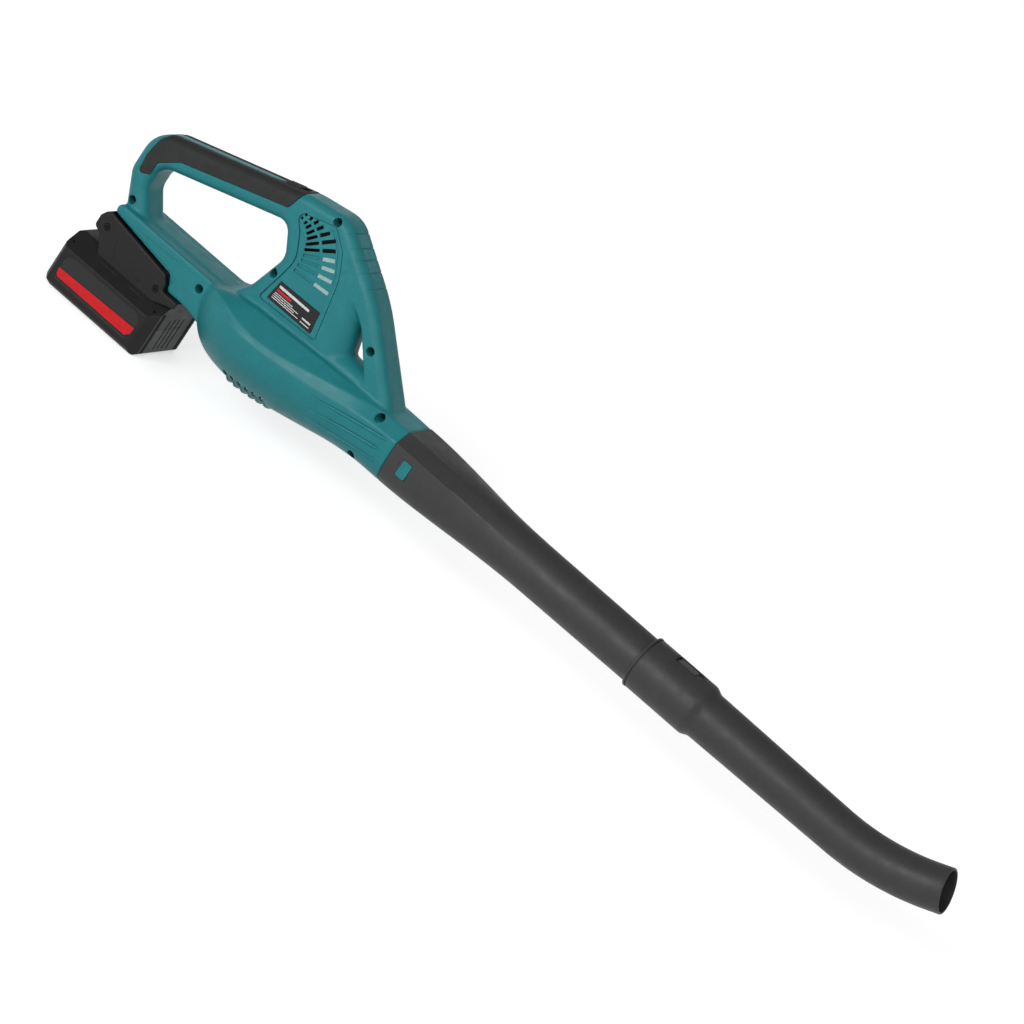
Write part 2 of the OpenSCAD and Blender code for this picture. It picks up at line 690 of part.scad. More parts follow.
blade_y = [-14, 14];
blade_z = battery_h + rail_neck_h + 0.5;
blade_h = rail_head_h - 1;
module terminal_block() {
    color(black) difference() {
        box(terminal_x, [-terminal_w / 2, terminal_w / 2], [battery_h + 1.5, terminal_top]);
        for (y = blade_y)
            box([terminal_x[0] - 1, terminal_x[1] - 3], [y - 0.5, y + 0.5], [blade_z, blade_z + blade_h]);
    }
}
module terminal_blades() {
    color(copper) for (y = blade_y)
        box([terminal_x[0] - 11, terminal_x[1] - 3.1], [y - 0.4, y + 0.4],
            [blade_z + 0.1, blade_z + blade_h - 0.1]);
}

adaptor_outline = [
    [-28.5, battery_h - 8], [foot_x + 1, battery_h - 8], [foot_x + 18, battery_h - 1.5],
    [battery_l / 2 + 4.5, battery_h], [battery_l / 2 + 4.5, battery_h + adaptor_slab_h - 0.3],
    [foot_x + 5.7, battery_h + adaptor_slab_h - 0.3], [foot_x + 4.7, battery_h + adaptor_foot_h - 8],
    [foot_x - 0.8, battery_h + adaptor_foot_h - 0.7], [-38, battery_h + adaptor_rear_h - 0.4],
    [-43, battery_h + adaptor_rear_h - 3], [-46.5, battery_h + adaptor_rear_h - 9],
    [-46.5, battery_h + 13], [-38.4, battery_h + 9.5]];
bay_floor = rail_top + 0.5 + adaptor_wall;
bay_outline = [
    [foot_x - adaptor_wall, bay_floor], [foot_x - adaptor_wall, battery_h + 50],
    [-43, battery_h + 50], [-43, bay_floor]];
module battery_clearance(g) {
    cross_profile(pack_cross(-g), -battery_l, battery_l / 2 + g);
    box([-battery_l, rail_x[1] + g], [-rail_w / 2 - g, rail_w / 2 + g],
        [battery_h + rail_neck_h - g, rail_top + g]);
    box([-battery_l, rail_x[1] + g], [-rail_w / 2 + rail_groove - g, rail_w / 2 - rail_groove + g],
        [battery_h - 1, rail_top]);
}
slide_gap = 0.4;
module adaptor() {
    color(black) difference() {
        side_profile(adaptor_outline, adaptor_w / 2);
        battery_clearance(slide_gap);
        side_profile(bay_outline, adaptor_w / 2 - adaptor_wall);
        both_sides() tabs(0.25);
        terminal_seat();
        for (s = tab_spots) both_sides() {
            along_y(s[0], -adaptor_w / 2 - 1, s[1]) cylinder(r = 3.2, h = 2.2);
            along_y(s[0], -adaptor_w / 2 - 1, s[1]) cylinder(r = 1.4, h = 12);
        }
        box([rail_x[1], terminal_x[0]], [-18, 18], [battery_h + rail_neck_h, rail_top]);
    }
}
module adaptor_screws() {
    color(steel) both_sides() for (s = tab_spots)
        along_y(s[0], -adaptor_w / 2 + 1.2 - 1.1, s[1]) screw(6.4, 2.9, 1.25, 1.1);
}

// ---- motor and fan, on the tube axis ----

bearing_l = 5;
bearing_d = 3.2 * shaft_d;
can_wall = 1.6;
motor_rear = motor_x - motor_l;
fit = 0.03;
module tube_x(x, l, r_out, r_in) {
    along_x(x, fan_z) difference() {
        cylinder(r = r_out, h = l);
        translate([0, 0, -1]) cylinder(r = r_in, h = l + 2);
    }
}
module motor_can() {
    color(steel) {
        tube_x(motor_rear + 8, motor_l - 8 - 2, motor_d / 2, motor_d / 2 - can_wall);
        tube_x(motor_x - 2, 2, motor_d / 2, bearing_d / 2 - 1.6);
        tube_x(motor_x - 2 - bearing_l, bearing_l, bearing_d / 2 + 1.6, bearing_d / 2);
    }
}
magnet_t = 4;
module motor_magnets() {
    color([0.3, 0.3, 0.32]) difference() {
        tube_x(motor_rear + 14, motor_l - 26, motor_d / 2 - can_wall, motor_d / 2 - can_wall - magnet_t);
        box([motor_rear, motor_x], [-motor_d, motor_d], [fan_z - 3, fan_z + 3]);
    }
}
module motor_end_cap() {
    color(black) difference() {
        union() {
            along_x(motor_rear, fan_z) cylinder(r = motor_d / 2, h = 8);
            along_x(motor_rear - 4, fan_z) cylinder(r = bearing_d / 2 + 2, h = 5);
        }
        along_x(motor_rear + 3, fan_z) cylinder(r = motor_d / 2 - can_wall, h = 10);
        along_x(motor_rear - 2, fan_z) cylinder(r = bearing_d / 2, h = 10);
        for (y = [-4.5, 4.5])
            translate([motor_rear - 1, y, fan_z + 14]) rotate([0, 90, 0]) cylinder(r = 1.6, h = 6);
    }
}
commutator_d = 15;
commutator_x = motor_rear + 4.5;
module motor_brushes() {
    color([0.2, 0.2, 0.2]) for (s = [-1, 1])
        box([commutator_x + 1, commutator_x + 6],
            [min(s * (commutator_d / 2 + 0.15), s * 17), max(s * (commutator_d / 2 + 0.15), s * 17)],
            [fan_z - 2.5, fan_z + 2.5]);
    color(copper) for (s = [-1, 1])
        box([commutator_x - 1.4, commutator_x + 7], [min(s * 17, s * 18.4), max(s * 17, s * 18.4)],
            [fan_z - 4, fan_z + 4]);
}
module bearing(x) {
    tube_x(x, bearing_l, bearing_d / 2 - fit, shaft_d / 2 + fit);
}
rear_bearing_x = motor_rear - 2;
front_bearing_x = motor_x - 2 - bearing_l;
module front_bearing() { color(steel) bearing(front_bearing_x); }
module rear_bearing() { color(steel) bearing(rear_bearing_x); }
module motor_shaft() {
    color(steel) along_x(rear_bearing_x + 0.5, fan_z)
        cylinder(r = shaft_d / 2, h = fan_x + fan_l + 5 - rear_bearing_x - 0.5);
}
armature_r = motor_d / 2 - can_wall - magnet_t - 0.5;
module armature() {
    color(copper) difference() {
        tube_x(motor_rear + 15, motor_l - 28, armature_r, shaft_d / 2);
        for (i = [0 : 5]) translate([0, 0, fan_z]) rotate([60 * i, 0, 0])
            translate([motor_rear, -1, armature_r - 5]) cube([motor_l, 2, 10]);
    }
}
module commutator() {
    color(copper) tube_x(commutator_x, 8, commutator_d / 2, shaft_d / 2);
}
// The mount's outer ring seats on the ledge in the housing.
mount_hub_r = motor_d / 2 + 3;
mount_t = 3;
mount_outline = [
    [motor_d / 2 + fit, motor_x - 14], [mount_hub_r, motor_x - 14], [mount_hub_r, motor_x + mount_t],
    [bearing_d / 2 + 1, motor_x + mount_t], [bearing_d / 2 + 1, motor_x + fit],
    [motor_d / 2 + fit, motor_x + fit]];
module motor_mount() {
    color(black) {
        along_x(0, fan_z) rotate_extrude() polygon(mount_outline);
        tube_x(motor_x, mount_t, mount_r, mount_r - 4);
        for (i = [0 : 5]) translate([motor_x, 0, fan_z]) rotate([60 * i, 0, 0])
            translate([0.4, -2, mount_hub_r - 1]) cube([mount_t - 0.8, 4, mount_r - mount_hub_r - 1]);
    }
}
module impeller() {
    color(black) {
        tube_x(fan_x, fan_l, fan_hub_r, shaft_d / 2);
        for (i = [0 : fan_blades - 1])
            translate([fan_x + fan_l / 2, 0, fan_z]) rotate([360 / fan_blades * i, 0, 0])
                intersection() {
                    translate([0, 0, fan_hub_r - 0.6]) rotate([0, 0, 38])
                        translate([-fan_l * 0.6, -1, 0]) cube([fan_l * 1.2, 2, fan_r]);
                    rotate([0, 90, 0]) translate([0, 0, -fan_l / 2 + 0.5])
                        cylinder(r = fan_r, h = fan_l - 1);
                }
    }
}
module impeller_nut() {
    color(steel) along_x(fan_x + fan_l, fan_z) difference() {
        cylinder(r = 5, h = 4, $fn = 6);
        translate([0, 0, -1]) cylinder(r = shaft_d / 2, h = 6);
    }
}
module stator() {
    color(black) difference() {
        union() {
            tube_x(fan_x - 2, stator_x - fan_x + 2, shroud_r + shroud_t, shroud_r);
            tube_x(stator_x - 2, 2, shroud_r + shroud_t, shroud_r - 3);
            tube_x(stator_x - 2, stator_l, shroud_r - 1.8, shroud_r - 3.2);
            along_x(stator_x + 3, fan_z) cylinder(r = fan_hub_r - 1, h = stator_l - 3);
            along_x(stator_x + stator_l, fan_z) cylinder(r1 = fan_hub_r - 1, r2 = 5, h = 14);
            for (i = [0 : stator_vanes - 1])
                translate([stator_x + 3, 0, fan_z]) rotate([360 / stator_vanes * i, 0, 0])
                    translate([0, -0.9, fan_hub_r - 3]) cube([stator_l - 6, 1.8, shroud_r - fan_hub_r]);
        }
        along_x(stator_x + 2, fan_z) cylinder(r = 7, h = 8);
    }
}

// ---- blow tubes ----

tube_end = collar_x + collar_l - collar_shoulder - 1;
lug_l = 20;
lug_w = 11;
lug_h = 0.9;
window_x = collar_x + 25;
module cage_box(grow) {
    translate([neck_x + button_x - cage_l / 2 - grow, 0, lock_z - cage_h / 2 - grow])
        cube([cage_l + 2 * grow, 200, cage_h + 2 * grow]);
}
cage_wall = 1.2;
module cages() {
    intersection() {
        tube_loft(neck_x + plug_gap, neck_x + 60, tube_wall / 2, 4);
        both_sides() difference() {
            intersection() {
                cage_box(0);
                translate([0, neck_side - cage_depth, 0]) cube([800, 200, 400]);
            }
            translate([0, cage_wall, 0]) intersection() {
                cage_box(-cage_wall);
                translate([0, neck_side - cage_depth, 0]) cube([800, 200, 400]);
            }
        }
    }
}
module button_way(extra) {
    translate([neck_x + button_x - button_w / 2 - extra, -100, lock_z - button_h / 2 - extra])
        cube([button_w + 2 * extra, 200, button_h + 2 * extra]);
}
// The round part is turned: a slow taper up to the collar, then straight to the end.
round_x = neck_x + blend_l;
round_outline = [
    [round_r(round_x) + seam, round_x - 1], [tube_r, collar_x], [tube_r, tube_end],
    [tube_r - tube_wall, tube_end],
    [tube_r - tube_wall, collar_x], [round_r(round_x) - tube_wall + seam, round_x - 1]];
module rear_tube() {
    color(black) difference() {
        union() {
            difference() {
                tube_loft(neck_x + plug_gap, round_x, 0, 9);
                difference() {
                    tube_loft(neck_x - 1, round_x + 1, tube_wall, 9);
                    cages();
                }
            }
            along_x(0) rotate_extrude($fn = 96) polygon(round_outline);
            box([window_x + 2, window_x + 2 + lug_l], [-lug_w / 2, lug_w / 2],
                [axis_z + tube_r - 1.2, axis_z + tube_r + lug_h]);
        }
        button_way(gap);
    }
}
collar_r_in = tube_r + plug_gap;
collar_r = collar_r_in + collar_wall;
lip_l = 3;
mouth_bore = mouth_r - tube_wall + seam;
front_r = mouth_r + front_taper;
collar_end = collar_x + collar_l;
bend_x = collar_end + front_straight_l;
module at_bend_end() {
    translate([bend_x, 0, axis_z + bend_r]) rotate([0, -bend_angle, 0]) translate([0, 0, -bend_r])
        children();
}
// Outline of the straight part: distance along the tube and radius, outside forward, inside back.
straight_outline = [
    [collar_x + gap, collar_r + 0.5], [collar_x + lip_l, collar_r + 0.5],
    [collar_x + lip_l, collar_r - 0.6], [collar_x + lip_l + 1.2, collar_r - 0.6],
    [collar_x + lip_l + 1.2, collar_r], [collar_end - collar_shoulder, collar_r],
    [collar_end - collar_shoulder / 3, collar_r - 1.2], [collar_end, front_r],
    [bend_x, mouth_r], [bend_x, mouth_r - tube_wall],
    [collar_end, front_r - tube_wall], [tube_end + gap, collar_r_in], [collar_x + gap, collar_r_in]];
module front_tube() {
    color(black) difference() {
        union() {
            along_x(0) rotate_extrude($fn = 96)
                polygon([for (p = straight_outline) [p[1], p[0]]]);
            translate([bend_x, 0, axis_z + bend_r]) rotate([90, 0, 0]) rotate([0, 0, -90])
                rotate_extrude(angle = bend_angle, $fn = 180) translate([bend_r, 0]) difference() {
                    circle(r = mouth_r);
                    circle(r = mouth_r - tube_wall);
                }
            at_bend_end() rotate([0, 90, 0]) translate([0, 0, -1]) difference() {
                cylinder(r = mouth_r + seam, h = mouth_l + 1);
                translate([0, 0, -1]) cylinder(r = mouth_bore, h = mouth_l + 3);
            }
        }
        box([window_x, window_x + window_l], [-window_w / 2, window_w / 2],
            [axis_z + tube_r - 4, axis_z + collar_r + 4]);
        box([collar_x - 1, window_x + 1], [-lug_w / 2 - gap, lug_w / 2 + gap],
            [axis_z, axis_z + tube_r + lug_h + gap]);
    }
}

// ---- tube lock buttons ----

button_out = neck_side - 0.2;
flange_t = 1.4;
flange_y = neck_side - tube_wall - 2.6;
module lock_button() {
    translate([neck_x + button_x, 0, lock_z]) {
        translate([-button_w / 2, flange_y - 0.1, -button_h / 2])
            cube([button_w, button_out - flange_y + 0.1, button_h]);
        translate([-button_w / 2 - 1.4, flange_y - flange_t, -button_h / 2 - 1.2])
            cube([button_w + 2.8, flange_t, button_h + 2.4]);
    }
}
spring_floor = neck_side - cage_depth + cage_wall;
module lock_spring() {
    translate([neck_x + button_x, 0, lock_z]) rotate([-90, 0, 0])
        for (i = [0 : 3])
            translate([0, 0, spring_floor + 0.6 + i * (flange_y - flange_t - spring_floor - 1.2) / 3])
            rotate_extrude() translate([3, 0]) circle(r = 0.5);
    along_y(neck_x + button_x, spring_floor, lock_z)
        cylinder(r = 2.7, h = flange_y - flange_t - spring_floor);
}
module right_lock_button() { color(teal) mirror([0, 1, 0]) lock_button(); }
module left_lock_button() { color(teal) lock_button(); }
module right_lock_spring() { color(steel) mirror([0, 1, 0]) lock_spring(); }
module left_lock_spring() { color(steel) lock_spring(); }

// ---- battery pack ----

// Half the width and the height of the pack's cross section, drawn in by d.
function pack_half(d) = [
    [battery_w / 2 - pack_chamfer / 2 - d * 0.4, d], [battery_w / 2 - d, pack_chamfer / 2 + d * 0.4],
    [battery_w / 2 - d, battery_h - shoulder - d * 0.4],
    [battery_w / 2 - shoulder - d * 0.4, battery_h - d]];
function pack_cross(d) = let (h = pack_half(d))
    concat(h, [for (i = [3 : -1 : 0]) [-h[i][0], h[i][1]]]);
function pack_side(d) = let (x = battery_l / 2 - d, c = pack_chamfer + 1) [
    [-x + c, d], [x - 3, d], [x, 3 + d], [x, battery_h - d], [-x + 3, battery_h - d],
    [-x, battery_h - 3 - d], [-x, c - 1 + d]];
function pack_plan(d) = let (x = battery_l / 2 - d, y = battery_w / 2 - d, c = pack_chamfer) [
    [x, -y + c], [x, y - c], [x - c * 1.25, y], [-x + 4, y], [-x, y - 4], [-x, -y + 4], [-x + 4, -y],
    [x - c * 1.25, -y]];
module pack_solid(d) {
    intersection() {
        cross_profile(pack_cross(d), -battery_l, battery_l);
        side_profile(pack_side(d), battery_w);
        translate([0, 0, -10]) linear_extrude(battery_h * 2) polygon(pack_plan(d));
    }
}
hook_x = -battery_l / 2 + 16;
rail_x = [hook_x + rail_setback, foot_x - 12];
pack_post_r = 4;
post_spots = [[50, 36], [50, -36], [-52, 36], [-52, -36]];
module battery_lower_case() {
    color(black) difference() {
        union() {
            difference() {
                pack_solid(0);
                pack_solid(battery_wall);
            }
            for (p = post_spots) intersection() {
                pack_solid(1);
                translate([p[0], p[1], 1]) cylinder(r = pack_post_r, h = battery_h);
            }
        }
        box([-200, 200], [-200, 200], [seam_h, 200]);
        for (p = post_spots) {
            translate([p[0], p[1], -1]) cylinder(r = 1.7, h = battery_h);
            translate([p[0], p[1], -1]) cylinder(r = 3, h = 6);
        }
        label_recess();
    }
}
label_depth = 0.5;
label_outline = [[-48, 9], [44, 9], [46, 30], [40, battery_h - shoulder - 3], [-38, battery_h - shoulder - 3],
                 [-50, 32]];
module label_recess() {
    both_sides() translate([0, -battery_w / 2 - 5 + label_depth, 0]) side_profile(label_outline, 5);
}
cell_pitch = cell_d + 0.5;
cell_floor = battery_wall + 0.8;
release_w = 30;
release_z = [battery_h - 20, battery_h - 2];
hook_w = 14;
spring_shelf = cell_floor + 2 * cell_pitch + 0.8;
module battery_upper_case() {
    color(black) difference() {
        union() {
            difference() {
                pack_solid(0);
                pack_solid(battery_wall);
            }
            for (p = post_spots) intersection() {
                pack_solid(1);
                translate([p[0], p[1], 1]) cylinder(r = pack_post_r, h = battery_h);
            }
            box(rail_x, [-rail_w / 2 + rail_groove, rail_w / 2 - rail_groove],
                [battery_h - battery_wall / 2, battery_h + rail_neck_h + tiny]);
            box(rail_x, [-rail_w / 2, rail_w / 2], [battery_h + rail_neck_h, rail_top]);
            difference() {
                box([-battery_l / 2 + 1, hook_x - 5.5], [-release_w / 2 - 3, release_w / 2 + 3],
                    [spring_shelf - 2, spring_shelf]);
                box([-battery_l, -battery_l / 2 + 5.3], [-release_w / 2 - gap, release_w / 2 + gap],
                    [0, battery_h]);
            }
        }
        box([-200, 200], [-200, 200], [-1, seam_h]);
        for (p = post_spots) translate([p[0], p[1], 0]) cylinder(r = 1.3, h = battery_h - 8);
        for (y = blade_y) box([rail_x[1] - 18, rail_x[1] + 1], [y - 1.6, y + 1.6],
                              [battery_h - battery_wall - 1, rail_top - 0.6]);
        box([-battery_l / 2 - 1, -battery_l / 2 + 5.3], [-release_w / 2 - gap, release_w / 2 + gap],
            [release_z[0] - release_travel - gap, release_z[1] + gap]);
        box([hook_x - gap - 5, hook_x + gap], [-hook_w / 2 - gap, hook_w / 2 + gap],
            [battery_h - 10, battery_h + 1]);
        label_recess();
    }
}
module each_cell() {
    for (i = [0 : row_cells - 1], k = [0, 1])
        along_y((i - (row_cells - 1) / 2) * cell_pitch, -cell_l / 2, cell_floor + cell_d / 2 + k * cell_pitch)
            children();
}
module cells() { color([0.2, 0.45, 0.75]) each_cell() cylinder(d = cell_d, h = cell_l); }
holder_t = 5;
module cell_holder() {
    color([0.9, 0.9, 0.88]) difference() {
        for (y = [-cell_l / 2 + 2, cell_l / 2 - 2 - holder_t])
            box([-row_cells * cell_pitch / 2 + 2, row_cells * cell_pitch / 2 - 2], [y, y + holder_t],
                [battery_wall, cell_floor + 2 * cell_pitch + 0.6]);
        each_cell() cylinder(d = cell_d + 0.1, h = cell_l);
    }
}
module cell_strips() {
    color(steel) for (y = [-cell_l / 2 - 0.3, cell_l / 2], i = [0 : row_cells - 1])
        box([(i - (row_cells - 1) / 2) * cell_pitch - 4, (i - (row_cells - 1) / 2) * cell_pitch + 4],
            [y, y + 0.3], [cell_floor + cell_d / 2 - 5, cell_floor + cell_pitch + cell_d / 2 + 5]);
}
board_low = cell_floor + 2 * cell_pitch + 0.8;
module battery_board() {
    color(board_green) box([-30, rail_x[1] + 8], [-24, 24], [board_low, board_low + 1.6]);
}
module battery_contacts() {
    color(copper) for (y = blade_y, s = [-1, 1])
        box([rail_x[1] - 14, rail_x[1] - 2], [y + s * 0.45 + min(0, s * 0.6), y + s * 0.45 + max(0, s * 0.6)],
            [board_low + 1.6, rail_top - 1.4]);
}
module release_button() {
    color([0.3, 0.3, 0.32]) {
        difference() {
            box([-battery_l / 2 + 0.6, -battery_l / 2 + 5], [-release_w / 2, release_w / 2], release_z);
            for (i = [0 : 3])
                box([-battery_l / 2, -battery_l / 2 + 1.4], [-release_w / 2 + 3, release_w / 2 - 3],
                                  [release_z[0] + 3 + i * 3.6, release_z[0] + 4.4 + i * 3.6]);
        }
        box([-battery_l / 2 + 5 - tiny, hook_x], [-hook_w / 2, hook_w / 2],
            [battery_h - 10 + release_travel, battery_h - 3.4]);
        box([hook_x - 4, hook_x], [-hook_w / 2, hook_w / 2], [battery_h - 3.5, battery_h + 3.4]);
    }
}
release_spring_top = battery_h - 10 + release_travel;
module release_spring() {
    h = release_spring_top - spring_shelf;
    color(steel) translate([hook_x - 7.4, 0, spring_shelf]) {
        for (i = [0 : 2]) translate([0, 0, 0.5 + i * (h - 1 - seam) / 2])
            rotate_extrude() translate([2.6, 0]) circle(r = 0.45);
        cylinder(r = 2.3, h = h - seam);
    }
}
module battery_screws() {
    color(steel) for (p = post_spots) translate([p[0], p[1], 3.2])
        screw(seam_h + 6, 2.8, 1.25, 1.8);
}

right_housing();
left_housing();
right_grip_pad();
left_grip_pad();
nameplate();
housing_screws();
switch_bezel();
slide_knob();
switch_module();
speed_board();
supply_wires();
motor_wires();
terminal_block();
terminal_blades();
adaptor();
adaptor_screws();
motor_can();
motor_magnets();
motor_end_cap();
motor_brushes();
front_bearing();
rear_bearing();
motor_shaft();
armature();
commutator();
motor_mount();
impeller();
impeller_nut();
stator();
rear_tube();
front_tube();
right_lock_button();
left_lock_button();
right_lock_spring();
left_lock_spring();
battery_lower_case();
battery_upper_case();
cell_holder();
cells();
cell_strips();
battery_board();
battery_contacts();
release_button();
release_spring();
battery_screws();
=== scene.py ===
# %% [markdown]
# # A cordless leaf blower, piece by piece
# This lesson dresses a finished CAD model of a small cordless leaf blower. The CAD model is the
# frame: it says where every piece is and how it moves. Here each visible piece gets the shape and
# the finish of the real one: soft moulded edges, seams, grooves, rubber and scuffs.
# All lengths in the tables are millimetres, because a maker thinks in them, and each mesh is scaled
# to metres when it is made.

# %% Load the frame
import json
import math

import bmesh
import bpy
import numpy as np
from mathutils import Matrix, Vector


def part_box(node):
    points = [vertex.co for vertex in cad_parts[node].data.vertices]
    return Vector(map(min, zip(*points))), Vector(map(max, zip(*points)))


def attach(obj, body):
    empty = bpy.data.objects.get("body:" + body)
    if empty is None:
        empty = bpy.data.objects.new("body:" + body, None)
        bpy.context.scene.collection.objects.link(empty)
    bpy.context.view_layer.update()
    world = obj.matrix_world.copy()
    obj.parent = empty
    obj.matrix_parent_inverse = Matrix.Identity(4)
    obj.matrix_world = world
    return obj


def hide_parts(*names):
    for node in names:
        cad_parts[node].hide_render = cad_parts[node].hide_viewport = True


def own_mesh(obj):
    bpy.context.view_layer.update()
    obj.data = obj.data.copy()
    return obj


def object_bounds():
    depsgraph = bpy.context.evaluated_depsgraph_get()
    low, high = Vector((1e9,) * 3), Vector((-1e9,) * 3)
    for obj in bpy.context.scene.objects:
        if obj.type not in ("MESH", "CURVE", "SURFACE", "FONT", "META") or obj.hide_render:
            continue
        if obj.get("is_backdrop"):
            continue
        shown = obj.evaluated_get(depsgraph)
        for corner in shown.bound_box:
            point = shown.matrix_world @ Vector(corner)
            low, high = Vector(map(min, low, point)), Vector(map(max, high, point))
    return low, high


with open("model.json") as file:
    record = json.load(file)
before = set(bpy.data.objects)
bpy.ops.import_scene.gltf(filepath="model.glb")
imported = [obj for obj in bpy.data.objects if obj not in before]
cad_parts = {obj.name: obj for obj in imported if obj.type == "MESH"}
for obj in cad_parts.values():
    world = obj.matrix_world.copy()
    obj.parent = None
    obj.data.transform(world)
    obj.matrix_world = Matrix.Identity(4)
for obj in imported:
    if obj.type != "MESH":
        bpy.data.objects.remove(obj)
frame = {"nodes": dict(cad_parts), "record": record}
cad_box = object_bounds()
nodes = frame["nodes"]
MM = 0.001

# %% [markdown]
# ## The camera
# A long lens from nearly four metres away keeps the tube's two ends in proportion. The camera is
# tilted about its own axis, so the blower lies across the view as it does when someone carries
# it. Turning the camera instead of the blower leaves the model level in its own frame.

# %% Camera
CAMERA_AZIMUTH = 17.0
CAMERA_ELEVATION = 19.5
CAMERA_ROLL = 35.0
CAMERA_DISTANCE = 3.727
LENS = 151.2
AIM = Vector((0.417, 0.0, 0.1094))


def aim_camera(camera):
    a, e = math.radians(CAMERA_AZIMUTH), math.radians(CAMERA_ELEVATION)
    back = Vector((math.sin(a) * math.cos(e), -math.cos(a) * math.cos(e), math.sin(e)))
    turn = (-back).to_track_quat("-Z", "Y").to_matrix().to_4x4()
    roll = Matrix.Rotation(math.radians(CAMERA_ROLL), 4, "Z")
    camera.matrix_world = Matrix.Translation(AIM + back * CAMERA_DISTANCE) @ turn @ roll


camera_data = bpy.data.cameras.new("camera")
camera_data.lens = LENS
camera_data.sensor_width = 36.0
camera_data.clip_end = 100.0
camera = bpy.data.objects.new("camera", camera_data)
bpy.context.collection.objects.link(camera)
aim_camera(camera)
bpy.context.scene.camera = camera
print("camera at", [round(v, 3) for v in camera.matrix_world.translation])

# %% [markdown]
# ## The studio
# A plain studio needs three soft lamps: a large key beside the camera that lights the broad side
# more than the tops, a fill from the right and a low one behind that lights the far side. The low
# one stays out of reflections, or the tops would catch it as a pale sheen. The camera sees the
# floor and the world as white, and so do reflections up to the backdrop's height. The lamps and a
# low ambient light decide how bright the blower is.


# %% Lamps
def lamp(name, place, target, size, watts, reflected=True):
    data = bpy.data.lights.new(name, "AREA")
    data.shape = "RECTANGLE"
    data.size, data.size_y = size
    data.energy = watts
    item = bpy.data.objects.new(name, data)
    item.location = place
    item.visible_glossy = reflected
    item.rotation_mode = "QUATERNION"
    item.rotation_quaternion = (Vector(target) - Vector(place)).to_track_quat("-Z", "Y")
    bpy.context.collection.objects.link(item)


MIDDLE = (0.4, 0.0, 0.1)
lamp("key_lamp", (-0.3, -2.4, 1.1), MIDDLE, (1.4, 1.0), 35)
lamp("fill_lamp", (1.5, -1.7, 1.6), MIDDLE, (1.6, 1.2), 11)
lamp("back_lamp", (-1.3, 2.1, 0.7), MIDDLE, (1.8, 1.2), 16, reflected=False)


# %% World
def seen_by(tree, lit, to_camera, to_gloss):
    """One shader for the camera and glass, one for gloss, and the lit one for all other light."""
    path = tree.nodes.new("ShaderNodeLightPath")
    gloss, mix = (tree.nodes.new("ShaderNodeMixShader") for _ in range(2))
    tree.links.new(path.outputs["Is Glossy Ray"], gloss.inputs[0])
    tree.links.new(lit.outputs[0], gloss.inputs[1])
    tree.links.new(to_gloss.outputs[0], gloss.inputs[2])
    direct = tree.nodes.new("ShaderNodeMath")
    direct.operation = "MAXIMUM"
    tree.links.new(path.outputs["Is Camera Ray"], direct.inputs[0])
    tree.links.new(path.outputs["Is Transmission Ray"], direct.inputs[1])
    tree.links.new(direct.outputs[0], mix.inputs[0])
    tree.links.new(gloss.outputs[0], mix.inputs[1])
    tree.links.new(to_camera.outputs[0], mix.inputs[2])
    return mix


world = bpy.data.worlds.new("studio")
bpy.context.scene.world = world
world.use_nodes = True
tree = world.node_tree
tree.nodes.clear()
ambient, backdrop, room = (tree.nodes.new("ShaderNodeBackground") for _ in range(3))
for shade in (ambient, backdrop, room):
    shade.inputs["Color"].default_value = (1, 1, 1, 1)
AMBIENT = 0.32
ambient.inputs["Strength"].default_value = AMBIENT
backdrop.inputs["Strength"].default_value = 1.0
# the room is white up to the backdrop's height and dims towards the ceiling
compass = tree.nodes.new("ShaderNodeTexCoord")
height = tree.nodes.new("ShaderNodeSeparateXYZ")
dim = tree.nodes.new("ShaderNodeMapRange")
for key, number in (("From Min", 0.05), ("From Max", 0.5), ("To Min", 1.0), ("To Max", 0.25)):
    dim.inputs[key].default_value = number
tree.links.new(compass.outputs["Generated"], height.inputs[0])
tree.links.new(height.outputs["Z"], dim.inputs["Value"])
tree.links.new(dim.outputs[0], room.inputs["Strength"])
world_out = tree.nodes.new("ShaderNodeOutputWorld")
tree.links.new(seen_by(tree, ambient, backdrop, room).outputs[0], world_out.inputs[0])
print("world", world.name, "with ambient light", AMBIENT)

# %% Floor
FLOOR_LIFT = 0.55
FLOOR_HALF = 6.0
SHADOW_NEAR, SHADOW_FAR = 0.75, 1.3


